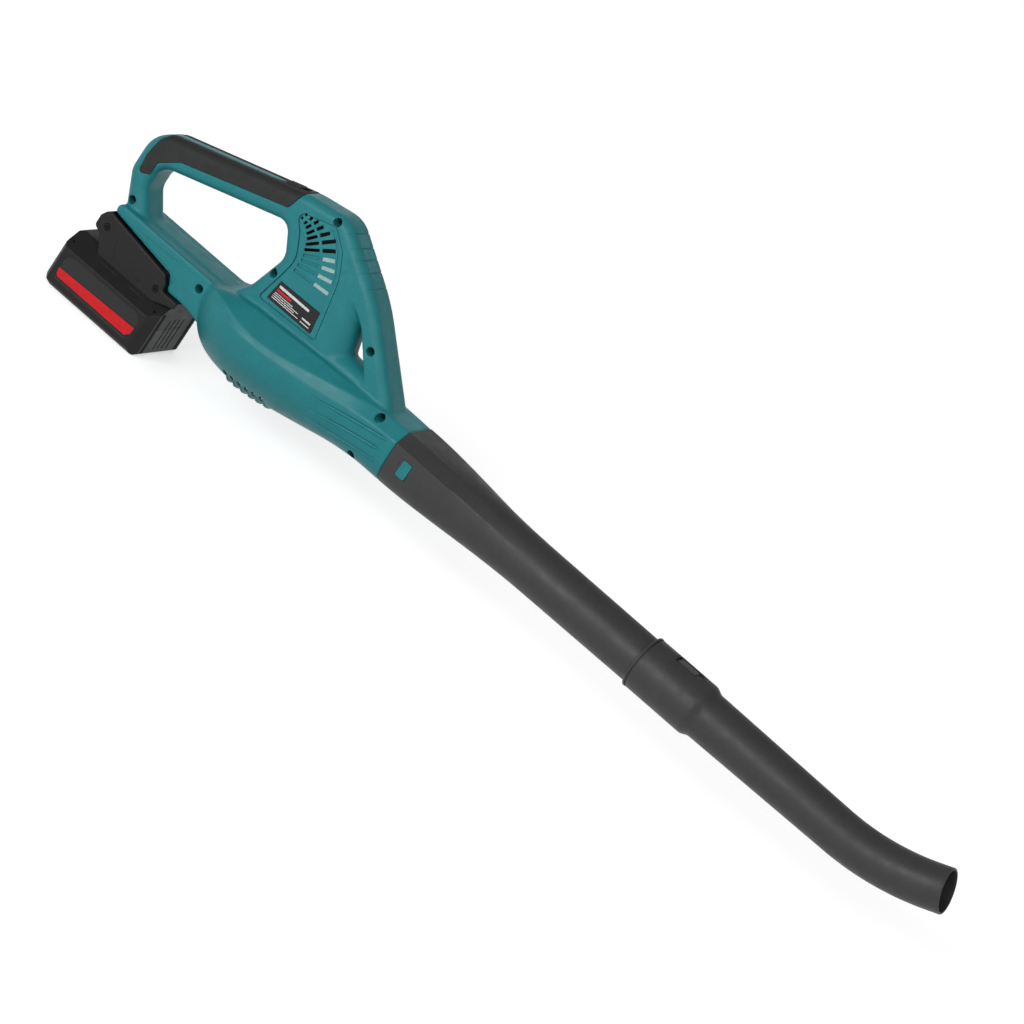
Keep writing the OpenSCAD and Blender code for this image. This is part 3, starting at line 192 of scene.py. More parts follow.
def make_floor():
    """White to the camera except for the shadow; a plain pale grey to all other light."""
    data = bpy.data.meshes.new("floor")
    half = FLOOR_HALF
    data.from_pydata([(-half, -half, 0), (half, -half, 0), (half, half, 0), (-half, half, 0)], [],
                     [(0, 1, 2, 3)])
    item = bpy.data.objects.new("floor", data)
    bpy.context.collection.objects.link(item)
    item.location = (0.4, 0.0, -0.0005)
    paint = bpy.data.materials.new("studio_floor")
    paint.use_nodes = True
    tree = paint.node_tree
    tree.nodes.clear()
    link = tree.links.new
    pale, dull = (tree.nodes.new("ShaderNodeBsdfDiffuse") for _ in range(2))
    pale.inputs["Color"].default_value = (0.9, 0.9, 0.9, 1)
    dull.inputs["Color"].default_value = (0.5, 0.5, 0.5, 1)
    lift, white = (tree.nodes.new("ShaderNodeEmission") for _ in range(2))
    lift.inputs["Strength"].default_value = FLOOR_LIFT
    white.inputs["Strength"].default_value = 1.0
    both = tree.nodes.new("ShaderNodeAddShader")
    link(pale.outputs[0], both.inputs[0])
    link(lift.outputs[0], both.inputs[1])
    place = tree.nodes.new("ShaderNodeTexCoord")
    far = tree.nodes.new("ShaderNodeVectorMath")
    far.operation = "LENGTH"
    link(place.outputs["Object"], far.inputs[0])
    fade = tree.nodes.new("ShaderNodeMapRange")
    fade.inputs["From Min"].default_value = SHADOW_NEAR
    fade.inputs["From Max"].default_value = SHADOW_FAR
    link(far.outputs["Value"], fade.inputs["Value"])
    seen = tree.nodes.new("ShaderNodeMixShader")
    link(fade.outputs[0], seen.inputs[0])
    link(both.outputs[0], seen.inputs[1])
    link(white.outputs[0], seen.inputs[2])
    out = tree.nodes.new("ShaderNodeOutputMaterial")
    link(seen_by(tree, dull, seen, seen).outputs[0], out.inputs[0])
    data.materials.append(paint)
    item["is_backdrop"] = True


make_floor()
bpy.context.scene.view_settings.view_transform = "Standard"
print("floor reaches", FLOOR_HALF, "m each way")

# %% [markdown]
# ## Shapes from outlines
# Moulded plastic is easiest to describe as outlines and sections. An outline is a list of corners,
# each with the radius of its arc. A plate is an outline given a thickness and rounded rims, and a
# loft is a skin over a row of sections. Both are plain vertex lists, so they can be exact where a
# sculpted mesh would drift.


# %% Outlines
def unit(v):
    return v / np.linalg.norm(v)


def rounded(corners, steps=9):
    """Corners [a, b, radius] as one smooth counter-clockwise outline."""
    points = []
    count = len(corners)
    for i in range(count):
        before, here, after = (np.array(corners[(i + k) % count][:2], float) for k in (-1, 0, 1))
        radius = corners[i][2]
        u, v = unit(before - here), unit(after - here)
        half = math.acos(max(-1.0, min(1.0, float(u @ v)))) / 2
        centre = here + unit(u + v) * radius / math.sin(half)
        start, end = (here + w * radius / math.tan(half) - centre for w in (u, v))
        first = math.atan2(start[1], start[0])
        turn = math.atan2(start[0] * end[1] - start[1] * end[0], float(start @ end))
        for k in range(steps + 1):
            angle = first + turn * k / steps
            points.append(centre + radius * np.array([math.cos(angle), math.sin(angle)]))
    return np.array(points)


def inset(points, distance):
    """The outline moved inwards; a negative distance grows it."""
    before = points - np.roll(points, 1, axis=0)
    after = np.roll(points, -1, axis=0) - points
    normals = []
    for edge in (before, after):
        length = np.maximum(np.linalg.norm(edge, axis=1, keepdims=True), 1e-9)
        normals.append(np.column_stack([-edge[:, 1], edge[:, 0]]) / length)
    mitre = normals[0] + normals[1]
    return points + mitre * distance * 2 / np.sum(mitre * mitre, axis=1, keepdims=True)


def in_side_view(points, y):
    return np.column_stack([points[:, 0], np.full(len(points), y), points[:, 1]])


print("a rounded square has", len(rounded([[0, 0, 2], [9, 0, 2], [9, 9, 2], [0, 9, 2]])), "points")


# %% Meshes
def make_mesh(name, vertices, faces, smooth=True):
    """A linked object from millimetre vertices, with its faces turned outwards."""
    data = bpy.data.meshes.new(name)
    data.from_pydata([tuple(float(c) * MM for c in v) for v in vertices], [], faces)
    work = bmesh.new()
    work.from_mesh(data)
    bmesh.ops.remove_doubles(work, verts=work.verts, dist=1e-7)
    bmesh.ops.recalc_face_normals(work, faces=work.faces)
    work.to_mesh(data)
    work.free()
    item = bpy.data.objects.new(name, data)
    bpy.context.collection.objects.link(item)
    if smooth:
        data.shade_smooth()
    return item


def loft(name, rings, smooth=True, capped=True):
    size = len(rings[0])
    faces = []
    for k in range(len(rings) - 1):
        for i in range(size):
            j = (i + 1) % size
            faces.append((k * size + i, k * size + j, (k + 1) * size + j, (k + 1) * size + i))
    if capped:
        last = (len(rings) - 1) * size
        faces += [tuple(range(size)), tuple(range(last, last + size))]
    return make_mesh(name, np.concatenate(rings), faces, smooth)


print("helpers", [helper.__name__ for helper in (make_mesh, loft)])


# %% Plates and prisms
def plate(name, outline, half, rim, steps=7, flare=False):
    """A plate across Y with rounded rims; flared, it is the space of a hole through one."""
    angles = np.radians(np.linspace(0, 90, steps))
    levels = half - rim + rim * np.sin(angles)
    draws = rim - rim * np.cos(angles)
    if flare:
        levels, draws = np.append(levels, half + 1.5), np.append(-draws, -draws[-1])
    rings = [in_side_view(inset(outline, d), -y) for y, d in zip(levels[::-1], draws[::-1])]
    rings += [in_side_view(inset(outline, d), y) for y, d in zip(levels, draws)]
    return loft(name, rings)


def prism(name, outline, low, high, smooth=False):
    return loft(name, [in_side_view(outline, low), in_side_view(outline, high)], smooth)


def across_x(name, outline, low, high):
    """A prism along X of an outline in Y and Z."""
    return loft(name, [np.column_stack([np.full(len(outline), x), outline[:, 0], outline[:, 1]])
                       for x in (low, high)], smooth=False)


def in_plan(outline, z):
    return np.column_stack([outline[:, 0], outline[:, 1], np.full(len(outline), z)])


def across_z(name, outline, low, high):
    return loft(name, [in_plan(outline, z) for z in (low, high)], smooth=False)


print("helpers", [helper.__name__ for helper in (plate, prism, across_x, across_z)])


# %% Blocks and rods
def block(name, x, y, z):
    corners = [(a, b, c) for a in x for b in y for c in z]
    faces = [(0, 1, 3, 2), (4, 6, 7, 5), (0, 4, 5, 1), (2, 3, 7, 6), (0, 2, 6, 4), (1, 5, 7, 3)]
    return make_mesh(name, corners, faces, smooth=False)


def rod(name, start, end, radius, end_radius=None, sides=40):
    start, end = np.array(start, float), np.array(end, float)
    along = unit(end - start)
    across = unit(np.cross(along, [0.0, 0.3, 1.0] if abs(along[1]) < 0.9 else [1.0, 0.0, 0.0]))
    other = np.cross(along, across)
    angles = np.linspace(0, 2 * math.pi, sides, endpoint=False)
    circle = np.outer(np.cos(angles), across) + np.outer(np.sin(angles), other)
    end_radius = radius if end_radius is None else end_radius
    return loft(name, [start + circle * radius, end + circle * end_radius])


print("helpers", [helper.__name__ for helper in (block, rod)])

# %% [markdown]
# ## Cutting, joining and softening
# A mould leaves no perfectly sharp edge. The way used here is to join and cut plain solids with
# booleans, then rebuild the skin from small voxels and relax it: every edge comes out slightly
# round, and two forms that meet get a fillet. Fine grooves are cut last, so that they stay crisp.


# %% Booleans
def bake(item):
    """Applies the object's modifiers to its mesh."""
    graph = bpy.context.evaluated_depsgraph_get()
    made = bpy.data.meshes.new_from_object(item.evaluated_get(graph))
    old = item.data
    item.modifiers.clear()
    item.data = made
    bpy.data.meshes.remove(old)
    return item


def boolean(item, others, operation, keep=False):
    for other in others:
        step = item.modifiers.new("step", "BOOLEAN")
        step.operation = operation
        step.solver = "MANIFOLD"
        step.object = other
    bake(item)
    if not keep:
        for other in others:
            bpy.data.objects.remove(other, do_unlink=True)
    return item


def join(item, *others):
    return boolean(item, others, "UNION")


def cut(item, *others):
    return boolean(item, others, "DIFFERENCE")


print("booleans use the manifold solver")


# %% Voxels and shading
def soften(item, voxel, rounds=2, strength=0.5):
    """Rebuilds the skin from voxels and relaxes it, without shrinking it much."""
    step = item.modifiers.new("voxels", "REMESH")
    step.mode = "VOXEL"
    step.voxel_size = voxel * MM
    step.adaptivity = 0.0
    if rounds:
        relax = item.modifiers.new("relax", "SMOOTH")
        relax.factor = strength
        relax.iterations = rounds
    bake(item)
    item.data.shade_smooth()
    return item


def thin_out(item, ratio):
    step = item.modifiers.new("thin", "DECIMATE")
    step.ratio = ratio
    bake(item)
    item.data.shade_smooth()
    return item


def copy_of(item, name):
    twin = bpy.data.objects.new(name, item.data.copy())
    bpy.context.collection.objects.link(twin)
    return twin


def soft_by_angle(item, degrees=35):
    """Smooth shading that keeps the crisp edges of grooves."""
    item.data.shade_smooth()
    item.data.set_sharp_from_angle(angle=math.radians(degrees))
    return item


print("helpers", [helper.__name__ for helper in (soften, thin_out, copy_of, soft_by_angle)])

# %% [markdown]
# ## The housing's measures
# The housing is two mirrored shells. Its bulb is lofted over stations, each with a depth, a side,
# a ridge and a root where the column grows out of it. The loop handle and its strut are one plate
# with two openings, and the base is a second, wider plate that sits on the battery adaptor.

# %% Housing tables
AXIS = 84.0
DECK = AXIS + 15.0
HANDLE_HALF = 20.0
HANDLE_RIM = 9.0
DECK_HALF = 28.0
WALL = 2.6
NECK_X = 306.0

# x, depth, side y, side z, ridge y, ridge z, root y, root z, squareness; z from the tube axis
STATIONS = np.array([
    [76, 25.5, 28, 2, 27, 13, 25, 14, 2],
    [86, 37.7, 36, 3, 35, 15, 28, 16, 2],
    [102, 46.4, 44, 3, 42.5, 14, 28, 20, 2],
    [125, 50.5, 49.5, 3, 47, 10, 28, 23, 2],
    [150, 51, 50, 3, 47, 9, 28, 24, 2],
    [178, 47.4, 47.5, 4, 44.5, 11, 27, 25.5, 2.1],
    [212, 40.3, 43, 6, 39, 17, 25, 26.5, 2.3],
    [247, 32.6, 37.5, 11, 31.5, 23, 22, 27, 2.7],
    [275, 29, 34.8, 15, 24, 26.4, 18, 27, 3.1],
    [306, 28.5, 34, 16.5, 21, 27, 14, 27, 3.3],
], float)
HANDLE = rounded([
    [NECK_X - 8, AXIS + 10, 12], [212.5, AXIS + 95, 200], [148, AXIS + 138, 30],
    [104, AXIS + 131, 60], [-54, AXIS + 86, 28], [-54, AXIS + 43, 20], [-36, DECK - 8, 10]])
HAND_HOLE = rounded([
    [-14, DECK + 1, 6], [92, DECK + 1, 7], [104, AXIS + 34, 16], [116, AXIS + 72, 16],
    [100, AXIS + 99, 12], [-30, AXIS + 61, 14], [-30, AXIS + 38, 14]])
# the opening behind the strut narrows like a funnel to its waist in the middle plane
STRUT_MOUTH = rounded([
    [193, AXIS + 23, 8], [249, AXIS + 27, 4], [213, AXIS + 72, 60], [182, AXIS + 93, 5]])
STRUT_WAIST = rounded([
    [216.5, AXIS + 40, 3], [241, AXIS + 39, 3], [215, AXIS + 68, 60], [206, AXIS + 77, 3]])
PANEL = rounded([
    [117, AXIS + 30, 3], [185, AXIS + 32.5, 3], [173, AXIS + 91, 60], [161, AXIS + 113, 14],
    [143, AXIS + 127, 8], [104, AXIS + 115, 6], [117, AXIS + 100, 25], [128, AXIS + 79, 25],
    [124, AXIS + 59, 40]])
BASE = rounded([
    [-38, 89, 4], [38, 78, 1.5], [43, 70, 3], [44, 63.5, 4], [69, 63.5, 4], [88, AXIS - 25, 4],
    [98, DECK, 4], [-41, DECK, 5]])
print("bulb from x =", STATIONS[0, 0], "to", STATIONS[-1, 0], "in", len(STATIONS), "stations")


# %% Sections of the bulb
def station_curve(x, column):
    """The smooth curve through one column of the stations."""
    xs, ys = STATIONS[:, 0], STATIONS[:, column]
    i = int(np.clip(np.searchsorted(xs, x, side="right") - 1, 0, len(xs) - 2))
    slopes = [(ys[min(k + 1, len(xs) - 1)] - ys[max(k - 1, 0)])
              / (xs[min(k + 1, len(xs) - 1)] - xs[max(k - 1, 0)]) for k in (i, i + 1)]
    h = xs[i + 1] - xs[i]
    u = (x - xs[i]) / h
    return ((2 * u**3 - 3 * u**2 + 1) * ys[i] + (u**3 - 2 * u**2 + u) * h * slopes[0]
            + (3 * u**2 - 2 * u**3) * ys[i + 1] + (u**3 - u**2) * h * slopes[1])


def section(x, drawn=0.0, steps=22):
    """Half a section of the bulb as [y, z] from the axis, right side, from the keel up."""
    depth, side, side_z, ridge, ridge_z, root, root_z, square = (
        float(station_curve(x, c)) for c in range(1, 9))
    depth, side = depth - drawn, side - drawn
    power = 2 / square
    angles = np.radians(np.linspace(0, 90, steps))
    low = np.column_stack([-side * np.sin(angles) ** power,
                           side_z - (depth + side_z) * np.cos(angles) ** power])
    top = np.array([[-(ridge - 0.9 * drawn), ridge_z - 0.5 * drawn],
                    [-(root - 0.7 * drawn), root_z - drawn]])
    return np.concatenate([low, top])


def whole_section(x, drawn=0.0, steps=22):
    half = section(x, drawn, steps)
    return np.concatenate([half, half[:0:-1] * [-1, 1]])


def at_station(x, ring):
    return np.column_stack([np.full(len(ring), x), ring[:, 0], AXIS + ring[:, 1]])


print("bulb at x=150:", whole_section(150.0)[:3].round(1).tolist())

# %% [markdown]
# ## The housing's form
# First the plain solids are joined and relaxed, which gives the bulb, the column and the neck the
# soft transitions of a moulding. The openings and wells go in next and get a second, finer skin.
# The hollow inside is cut last from plain solids, because nobody sees its edges.

# %% Outer form
def bulb(name, drawn=0.0, first=76.0, last=NECK_X, end=None):
    xs = list(np.linspace(first, last, 58)) + ([end] if end else [])
    return loft(name, [at_station(x, whole_section(min(x, last), drawn)) for x in xs])


def strut_funnel(name, wall=0.0):
    """The space of the strut's opening; with a wall, the solid that must stay round it."""
    rings = []
    for y in np.linspace(-23, 23, 47):
        t = min(1.0, max(0.0, (abs(y) + wall - 2) / 18.4))
        ring = STRUT_WAIST + (STRUT_MOUTH - STRUT_WAIST) * (1 - math.sqrt(1 - t * t))
        rings.append(in_side_view(inset(ring, -wall), y))
    return loft(name, rings)


def handle_loop(name):
    item = plate(name, HANDLE, HANDLE_HALF, HANDLE_RIM)
    return cut(item, plate("hand_space", HAND_HOLE, HANDLE_HALF, HANDLE_RIM, flare=True),
               strut_funnel("strut_space"))


FORM_VOXEL = 1.1
FORM_ROUNDS = 9
form = bulb("housing_form")
join(form, handle_loop("handle_form"), plate("base_form", BASE, DECK_HALF, 1.6, steps=4))
soften(form, FORM_VOXEL, FORM_ROUNDS)
print("form has", len(form.data.polygons), "faces")

# %% Sweeps, bars and mirrored copies
def sweep(name, path, radii, sides=10):
    """A round bar along a path, with a radius for each of its points."""
    path = np.array(path, float)
    angles = np.linspace(0, 2 * math.pi, sides, endpoint=False)
    rings = []
    for i, point in enumerate(path):
        along = unit(path[min(i + 1, len(path) - 1)] - path[max(i - 1, 0)])
        across = unit(np.cross(along, (0, 0, 1) if abs(along[2]) < 0.8 else (1, 0, 0)))
        other = np.cross(along, across)
        circle = np.outer(np.cos(angles), across) + np.outer(np.sin(angles), other)
        rings.append(point + circle * radii[i])
    return loft(name, rings)


def groove(name, path, radius):
    """A sweep whose ends run out in points."""
    count = len(path)
    fade = [min(1.0, 0.25 + 0.75 * min(i, count - 1 - i) / 2) for i in range(count)]
    return sweep(name, path, [radius * f for f in fade])


def polygon_area(points):
    x, y = points[:, 0], points[:, 1]
    return 0.5 * float(np.sum(x * np.roll(y, -1) - np.roll(x, -1) * y))


def bar_outline(middle, along, length, width, corner):
    """A straight bar in side view, with the radius of its corners."""
    along = np.array(along, float)
    side = np.array([-along[1], along[0]])
    corners = [[*(np.array(middle) + along * a * length / 2 + side * b * width / 2), corner]
               for a, b in ((-1, -1), (1, -1), (1, 1), (-1, 1))]
    outline = rounded(corners, 4)
    return outline if polygon_area(outline) > 0 else outline[::-1]


def mirrored(item, name):
    """A copy on the other side of the middle plane."""
    twin = copy_of(item, name)
    twin.data.transform(Matrix.Scale(-1, 4, (0, 1, 0)))
    twin.data.flip_normals()
    return twin


print("helpers", [helper.__name__ for helper in (sweep, groove, bar_outline, mirrored)])

# %% Openings, panel, wells and vents
# x and z of each screw, and how far from the middle the housing's skin lies there
SCREW_SPOTS = [(-34.5, 105, 20), (69.6, 85.5, 28), (117, 139.5, 20), (141, 214, 20),
               (233.4, 143, 20), (278, 105.5, 27), (273.5, 61, 22)]
WELL_R = 4.0
BOSS_R = 5.3
PANEL_Y = HANDLE_HALF - 0.8
BLIND_Y = PANEL_Y - 1.4
# x and z of each row's inner end, its direction in degrees, and its inner and outer slot's length
VENT_ROWS = [
    (110.8, 194.8, 73, 2.6, 3), (115.5, 193, 70, 4, 4), (119, 191, 63, 6.5, 5.5),
    (122.5, 187.5, 57, 8.5, 7.5), (125.5, 184, 50, 11, 10.5), (127.5, 179.5, 43, 13.5, 14),
    (129, 175, 34.5, 15.5, 13.5), (131, 170.5, 27.5, 16.5, 13), (132, 166, 19.5, 18, 14),
    (131.5, 160.5, 12, 19, 15.5), (131.5, 155, 4, 20, 17)]
OPEN_ROWS = 7
VENT_BRIDGE = 2.4
LOUVRES = 6


def ease(t):
    t = min(1.0, max(0.0, t))
    return t * t * (3 - 2 * t)


def vent_outlines(row):
    """The inner and the outer slot of a row; the blind ones are wider."""
    x, z, degrees, inner, outer = VENT_ROWS[row]
    along = np.array([math.cos(math.radians(degrees)), math.sin(math.radians(degrees))])
    wide = (min(2.8, 2.4 + 0.1 * row), min(3.6, 2.5 + 0.25 * row))
    if row >= OPEN_ROWS:
        wide = (3.0, 4.0)
    start = np.array([x, z], float)
    far = start + along * (inner + VENT_BRIDGE + outer / 2)
    return [bar_outline(start + along * inner / 2, along, inner, wide[0], 0.4),
            bar_outline(far, along, outer, wide[1], 0.4)]


def on_both_sides(make, near, far):
    return [make(-far, -near), make(near, far)]


print(len(SCREW_SPOTS), "screws,", len(VENT_ROWS), "rows of vents")

# %% Wells and louvres
cutters = []
for x, z, side in SCREW_SPOTS:
    cutters.append(rod("well", (x, -side - 12, z), (x, -9, z), WELL_R))
    cutters.append(rod("well_rim", (x, -side - 0.8, z), (x, 1 - side, z),
                       WELL_R + 1.1, WELL_R - 0.2))
LOUVRE_XS = [134 + 8.4 * i for i in range(LOUVRES)]
for x in LOUVRE_XS:
    plan = rounded([[x - 2.1, -31, 1.9], [x + 2.1, -31, 1.9], [x + 2.1, 31, 1.9],
                    [x - 2.1, 31, 1.9]], 4)
    cutters.append(across_z("louvre", plan, 15.0, 54.0))
lips = []
for x in LOUVRE_XS:
    depth = float(station_curve(x + 2.9, 1))
    ys = np.linspace(-28, 28, 15)
    path = [(x + 2.9, y, AXIS - math.sqrt(depth * depth - y * y) - 0.2) for y in ys]
    lips.append(sweep("lip", path, [1.9 * min(1, 0.3 + 0.35 * min(k, 14 - k)) for k in range(15)]))
join(form, *lips)
cut(form, *cutters)
print("housing has", len(cutters), "cuts;", len(form.data.polygons), "faces")

# %% [markdown]
# ## Lines in the moulding
# The neck carries three long grooves and the strut five narrow lines across its edge; the deck
# and the base have lines too. Where each one runs is settled here. They are cut after the second
# skin, with the vents and the panel, because they are crisp on the real part.

# %% Skin lines
def side_y(x, z):
    """How far the bulb's skin lies from the middle at a height."""
    half = section(x)
    order = np.argsort(half[:, 1])
    return float(np.interp(z - AXIS, half[order, 1], -half[order, 0]))


NECK_LINES = [((216, 83.6), (296.6, 96.4)), ((222, 72.4), (295, 85)),
              ((220.6, 62.4), (297.6, 73.7))]
RIB_LINES = [((156.2, 212.6), (170.6, 221.9)), ((167.6, 204.9), (180.6, 213.9)),
             ((176.6, 198.9), (190.1, 208.9)), ((184.6, 190.9), (200.6, 202.9)),
             ((197.1, 182.9), (211.6, 193.9))]
RIB_WIDE, RIB_DEEP = 1.5, 0.5
ribs = []
for (x0, z0), (x1, z1) in RIB_LINES:
    start, end = np.array([x0, z0], float), np.array([x1, z1], float)
    along = unit(end - start)
    outline = bar_outline((start + end) / 2 + along * 4, along, 30, RIB_WIDE, 0.6)
    ribs.append(prism("rib_line", outline, -40, 40))
skin = plate("skin", inset(HANDLE, -1.5), HANDLE_HALF + 1.5, HANDLE_RIM)
cut(skin, plate("core", inset(HANDLE, RIB_DEEP), HANDLE_HALF - RIB_DEEP, HANDLE_RIM - 0.5))
rib_bars = boolean(join(ribs[0], *ribs[1:]), [skin], "INTERSECT")
print("neck lines", len(NECK_LINES), "rib lines", len(RIB_LINES))

# %% [markdown]
# ## Grip pads and their seat
# The soft grips are a second plastic moulded over the handle. They follow the handle's own form,
# so they are cut from the same plate: its outer skin, inside an outline drawn on the side. The
# housing gets a slightly larger seat, which leaves the narrow shadow line all round each pad.

# %% Grip zone
GRIP_ZONE = rounded([
    [-44, 129, 3], [-33, 134, 3], [-33, 147, 4], [-14, 162, 12], [94.5, 195, 2], [97, 202, 4],
    [106, 244, 1], [-34, 244, 1], [-34, 180, 8], [-43, 166, 10], [-46, 146, 8]])
PAD_T = 1.6
KNOB_MID = np.array([86.0, 209.3])
KNOB_SLOPE = math.radians(16)


def on_handle_top(item):
    """Places a piece made about the knob's middle onto the sloping handle."""
    place = Matrix.Translation((KNOB_MID[0] * MM, 0, KNOB_MID[1] * MM))
    item.data.transform(place @ Matrix.Rotation(-KNOB_SLOPE, 4, "Y"))
    return item


def grip_skin(name, proud, depth, spread, strip):
    skin = plate(name, inset(HANDLE, -proud), HANDLE_HALF + proud, HANDLE_RIM)
    cut(skin, plate("core", inset(HANDLE, depth), HANDLE_HALF - depth, HANDLE_RIM - 0.8 * depth))
    boolean(skin, [prism("zone", inset(GRIP_ZONE, -spread), -40, 40)], "INTERSECT")
    taper = [(-100, -strip), (60, -strip), (74, -strip * 0.45), (130, -strip * 0.45),
             (130, strip * 0.45), (74, strip * 0.45), (60, strip), (-100, strip)]
    band = [np.array([(x, y, z) for x, y in taper]) for z in (60.0, 260.0)]
    return cut(skin, loft("strip", band, smooth=False))


def bezel_block(name, grow):
    half_l, half_w = 14.5 + grow, 8.5 + grow
    return on_handle_top(block(name, (-half_l, half_l), (-half_w, half_w), (-1, 9)))


cut(form, grip_skin("seat", 1.5, PAD_T + 0.1, 0.25, 5.7), bezel_block("bezel_seat", 0.2),
    on_handle_top(block("switch_seat", (-12.7, 12.7), (-6.7, 6.7), (-9.2, 9))))
print("seat cut:", len(form.data.polygons), "faces")

# %% Second skin
SKIN_VOXEL = 0.72
soften(form, SKIN_VOXEL, 3)
print("second skin:", len(form.data.polygons), "faces")

# %% Vents, panel and crisp lines
fine_lines = [rib_bars]
for row in range(len(VENT_ROWS)):
    near = 12 if row < OPEN_ROWS else BLIND_Y
    for outline in vent_outlines(row):
        fine_lines += on_both_sides(lambda a, b: prism("vent", outline, a, b), near, 30)
fine_lines += on_both_sides(lambda a, b: prism("panel", PANEL, a, b), PANEL_Y, 30)
for moat in on_both_sides(lambda a, b: prism("panel_edge", PANEL, a, b), PANEL_Y - 0.9, 29):
    fine_lines.append(cut(moat, prism("panel_floor", inset(PANEL, 1.0), -40, 40)))
BASE_LINES = [[(-27.5, 89.2), (64.9, 92.6)],
              [(-27.5, 88.4), (35.5, 80.2), (43, 78.4), (48.8, 70)]]
for side in (-1, 1):
    for line in BASE_LINES:
        path = [np.array([x, side * (DECK_HALF + 0.25), z]) for x, z in line]
        dense = [path[0]]
        for p, q in zip(path, path[1:]):
            dense += [p + (q - p) * t for t in np.linspace(0, 1, 8)[1:]]
        fine_lines.append(groove("base_line", dense, 1.0))
    fine_lines.append(groove("deck_line", [(x, side * 13.0, DECK + 0.3)
                                           for x in np.linspace(-9, 84, 16)], 0.8))
for (x0, z0), (x1, z1) in NECK_LINES:
    for side in (-1, 1):
        path = []
        for k, t in enumerate(np.linspace(0, 1, 16)):
            x, z = x0 + (x1 - x0) * t, z0 + (z1 - z0) * t
            path.append((x, side * (side_y(x, z) + 0.3 - 0.5 * min(1.0, k / 6)), z))
        fade = [2.0 * min(1.0, 0.3 + 0.7 * (k / 6)) * (1 if k < 15 else 0.6) for k in range(16)]
        fine_lines.append(sweep("neck_line", path, fade, sides=14))
frame_line = inset(PANEL, 4.8)
for side in (-1, 1):
    path = [(p[0], side * (PANEL_Y + 0.1), p[1]) for p in frame_line
            if p[1] > AXIS + 44 and p[0] + 0.35 * p[1] > 190]
    fine_lines.append(groove("panel_line", path, 0.85))
line_count = len(fine_lines)
cut(form, *fine_lines)
print(line_count, "vents and lines cut")

# %% The hollow inside
space = bulb("space", WALL, 76 + WALL, NECK_X, NECK_X + 2)
loop = plate("loop_space", inset(HANDLE, WALL), HANDLE_HALF - WALL, HANDLE_RIM - 2)
cut(loop, plate("hand_keep", inset(HAND_HOLE, -WALL), HANDLE_HALF - WALL, HANDLE_RIM - WALL,
                flare=True),
    strut_funnel("strut_keep", WALL))
join(space, loop, plate("base_space", inset(BASE, WALL), DECK_HALF - WALL, 1.0, steps=3))
cut(space, *[rod("boss", (x, 1 - side, z), (x, side - 1, z), BOSS_R, sides=24)
             for x, z, side in SCREW_SPOTS])
cut(form, space)
cut(form, block("terminal_seat", (27.7, 42.3), (-20.3, 20.3), (56, 76.3)),
    block("wire_way", (16, 38), (-9, 9), (75, 90)))
for x, z, side in SCREW_SPOTS:
    cut(form, rod("screw_way", (x, -11.5, z), (x, 11, z), 1.6, sides=24))
print("hollow housing:", len(form.data.polygons), "faces")

# %% [markdown]
# ## The tubes
# The rear tube starts with the neck's own section and turns round over sixteen centimetres. It is
# a loft whose rings change from one outline to the other. The front tube is turned about the axis,
# then swept round its bend. Both have real walls, because their ends show when they come apart.

# %% Tube sections
TUBE_R = 23.0
TUBE_TAPER = 1.6
TUBE_WALL = 2.0
BLEND = 160.0
COLLAR_X = 589.0
TUBE_END = 653.0


def resampled(ring, step):
    points = []
    for p, q in zip(ring, np.roll(ring, -1, axis=0)):
        parts = max(1, math.ceil(float(np.linalg.norm(q - p)) / step))
        points += [p + (q - p) * k / parts for k in range(parts)]
    return np.array(points)


NECK_RING = resampled(whole_section(NECK_X), 1.6)


def tube_ring(x, drawn=0.0):
    t = ease((x - NECK_X) / BLEND)
    radius = TUBE_R + TUBE_TAPER * max(0.0, 1 - (x - NECK_X) / (COLLAR_X - NECK_X))
    length = np.linalg.norm(NECK_RING, axis=1, keepdims=True)
    ring = NECK_RING * (1 - t) + NECK_RING / length * radius * t
    return at_station(x, ring * (1 - drawn / np.linalg.norm(ring, axis=1, keepdims=True)))


def tube_piece(name, first, last, drawn, steps=24):
    return loft(name, [tube_ring(x, drawn) for x in np.linspace(first, last, steps)])


print("neck ring has", len(NECK_RING), "points")

# %% Spigot and the two shells
spigot = join(tube_piece("spigot", NECK_X - 6, NECK_X + 30, 2.4, 8),
              tube_piece("spigot_root", NECK_X - 9, NECK_X - 0.5, 1.0, 4))
cut(spigot, tube_piece("spigot_bore", NECK_X - 10, NECK_X + 32, 5.0, 8),
    block("button_notch", (315.5, 350), (-60, 60), (73.7, 96.3)))
join(form, spigot)


def half_of(item, name, side):
    """One half of a piece, a hair short of the middle plane so that the joint shows."""
    far = block("far", (-200, 1200), (-0.08, 120) if side < 0 else (-120, 0.08), (-50, 300))
    return cut(copy_of(item, name), far)


right_shell = half_of(form, "right_shell", -1)
left_shell = half_of(form, "left_shell", 1)
bpy.data.objects.remove(form, do_unlink=True)
for shell in (right_shell, left_shell):
    soft_by_angle(thin_out(shell, 0.4), 40)
    print(shell.name, len(shell.data.polygons), "faces")
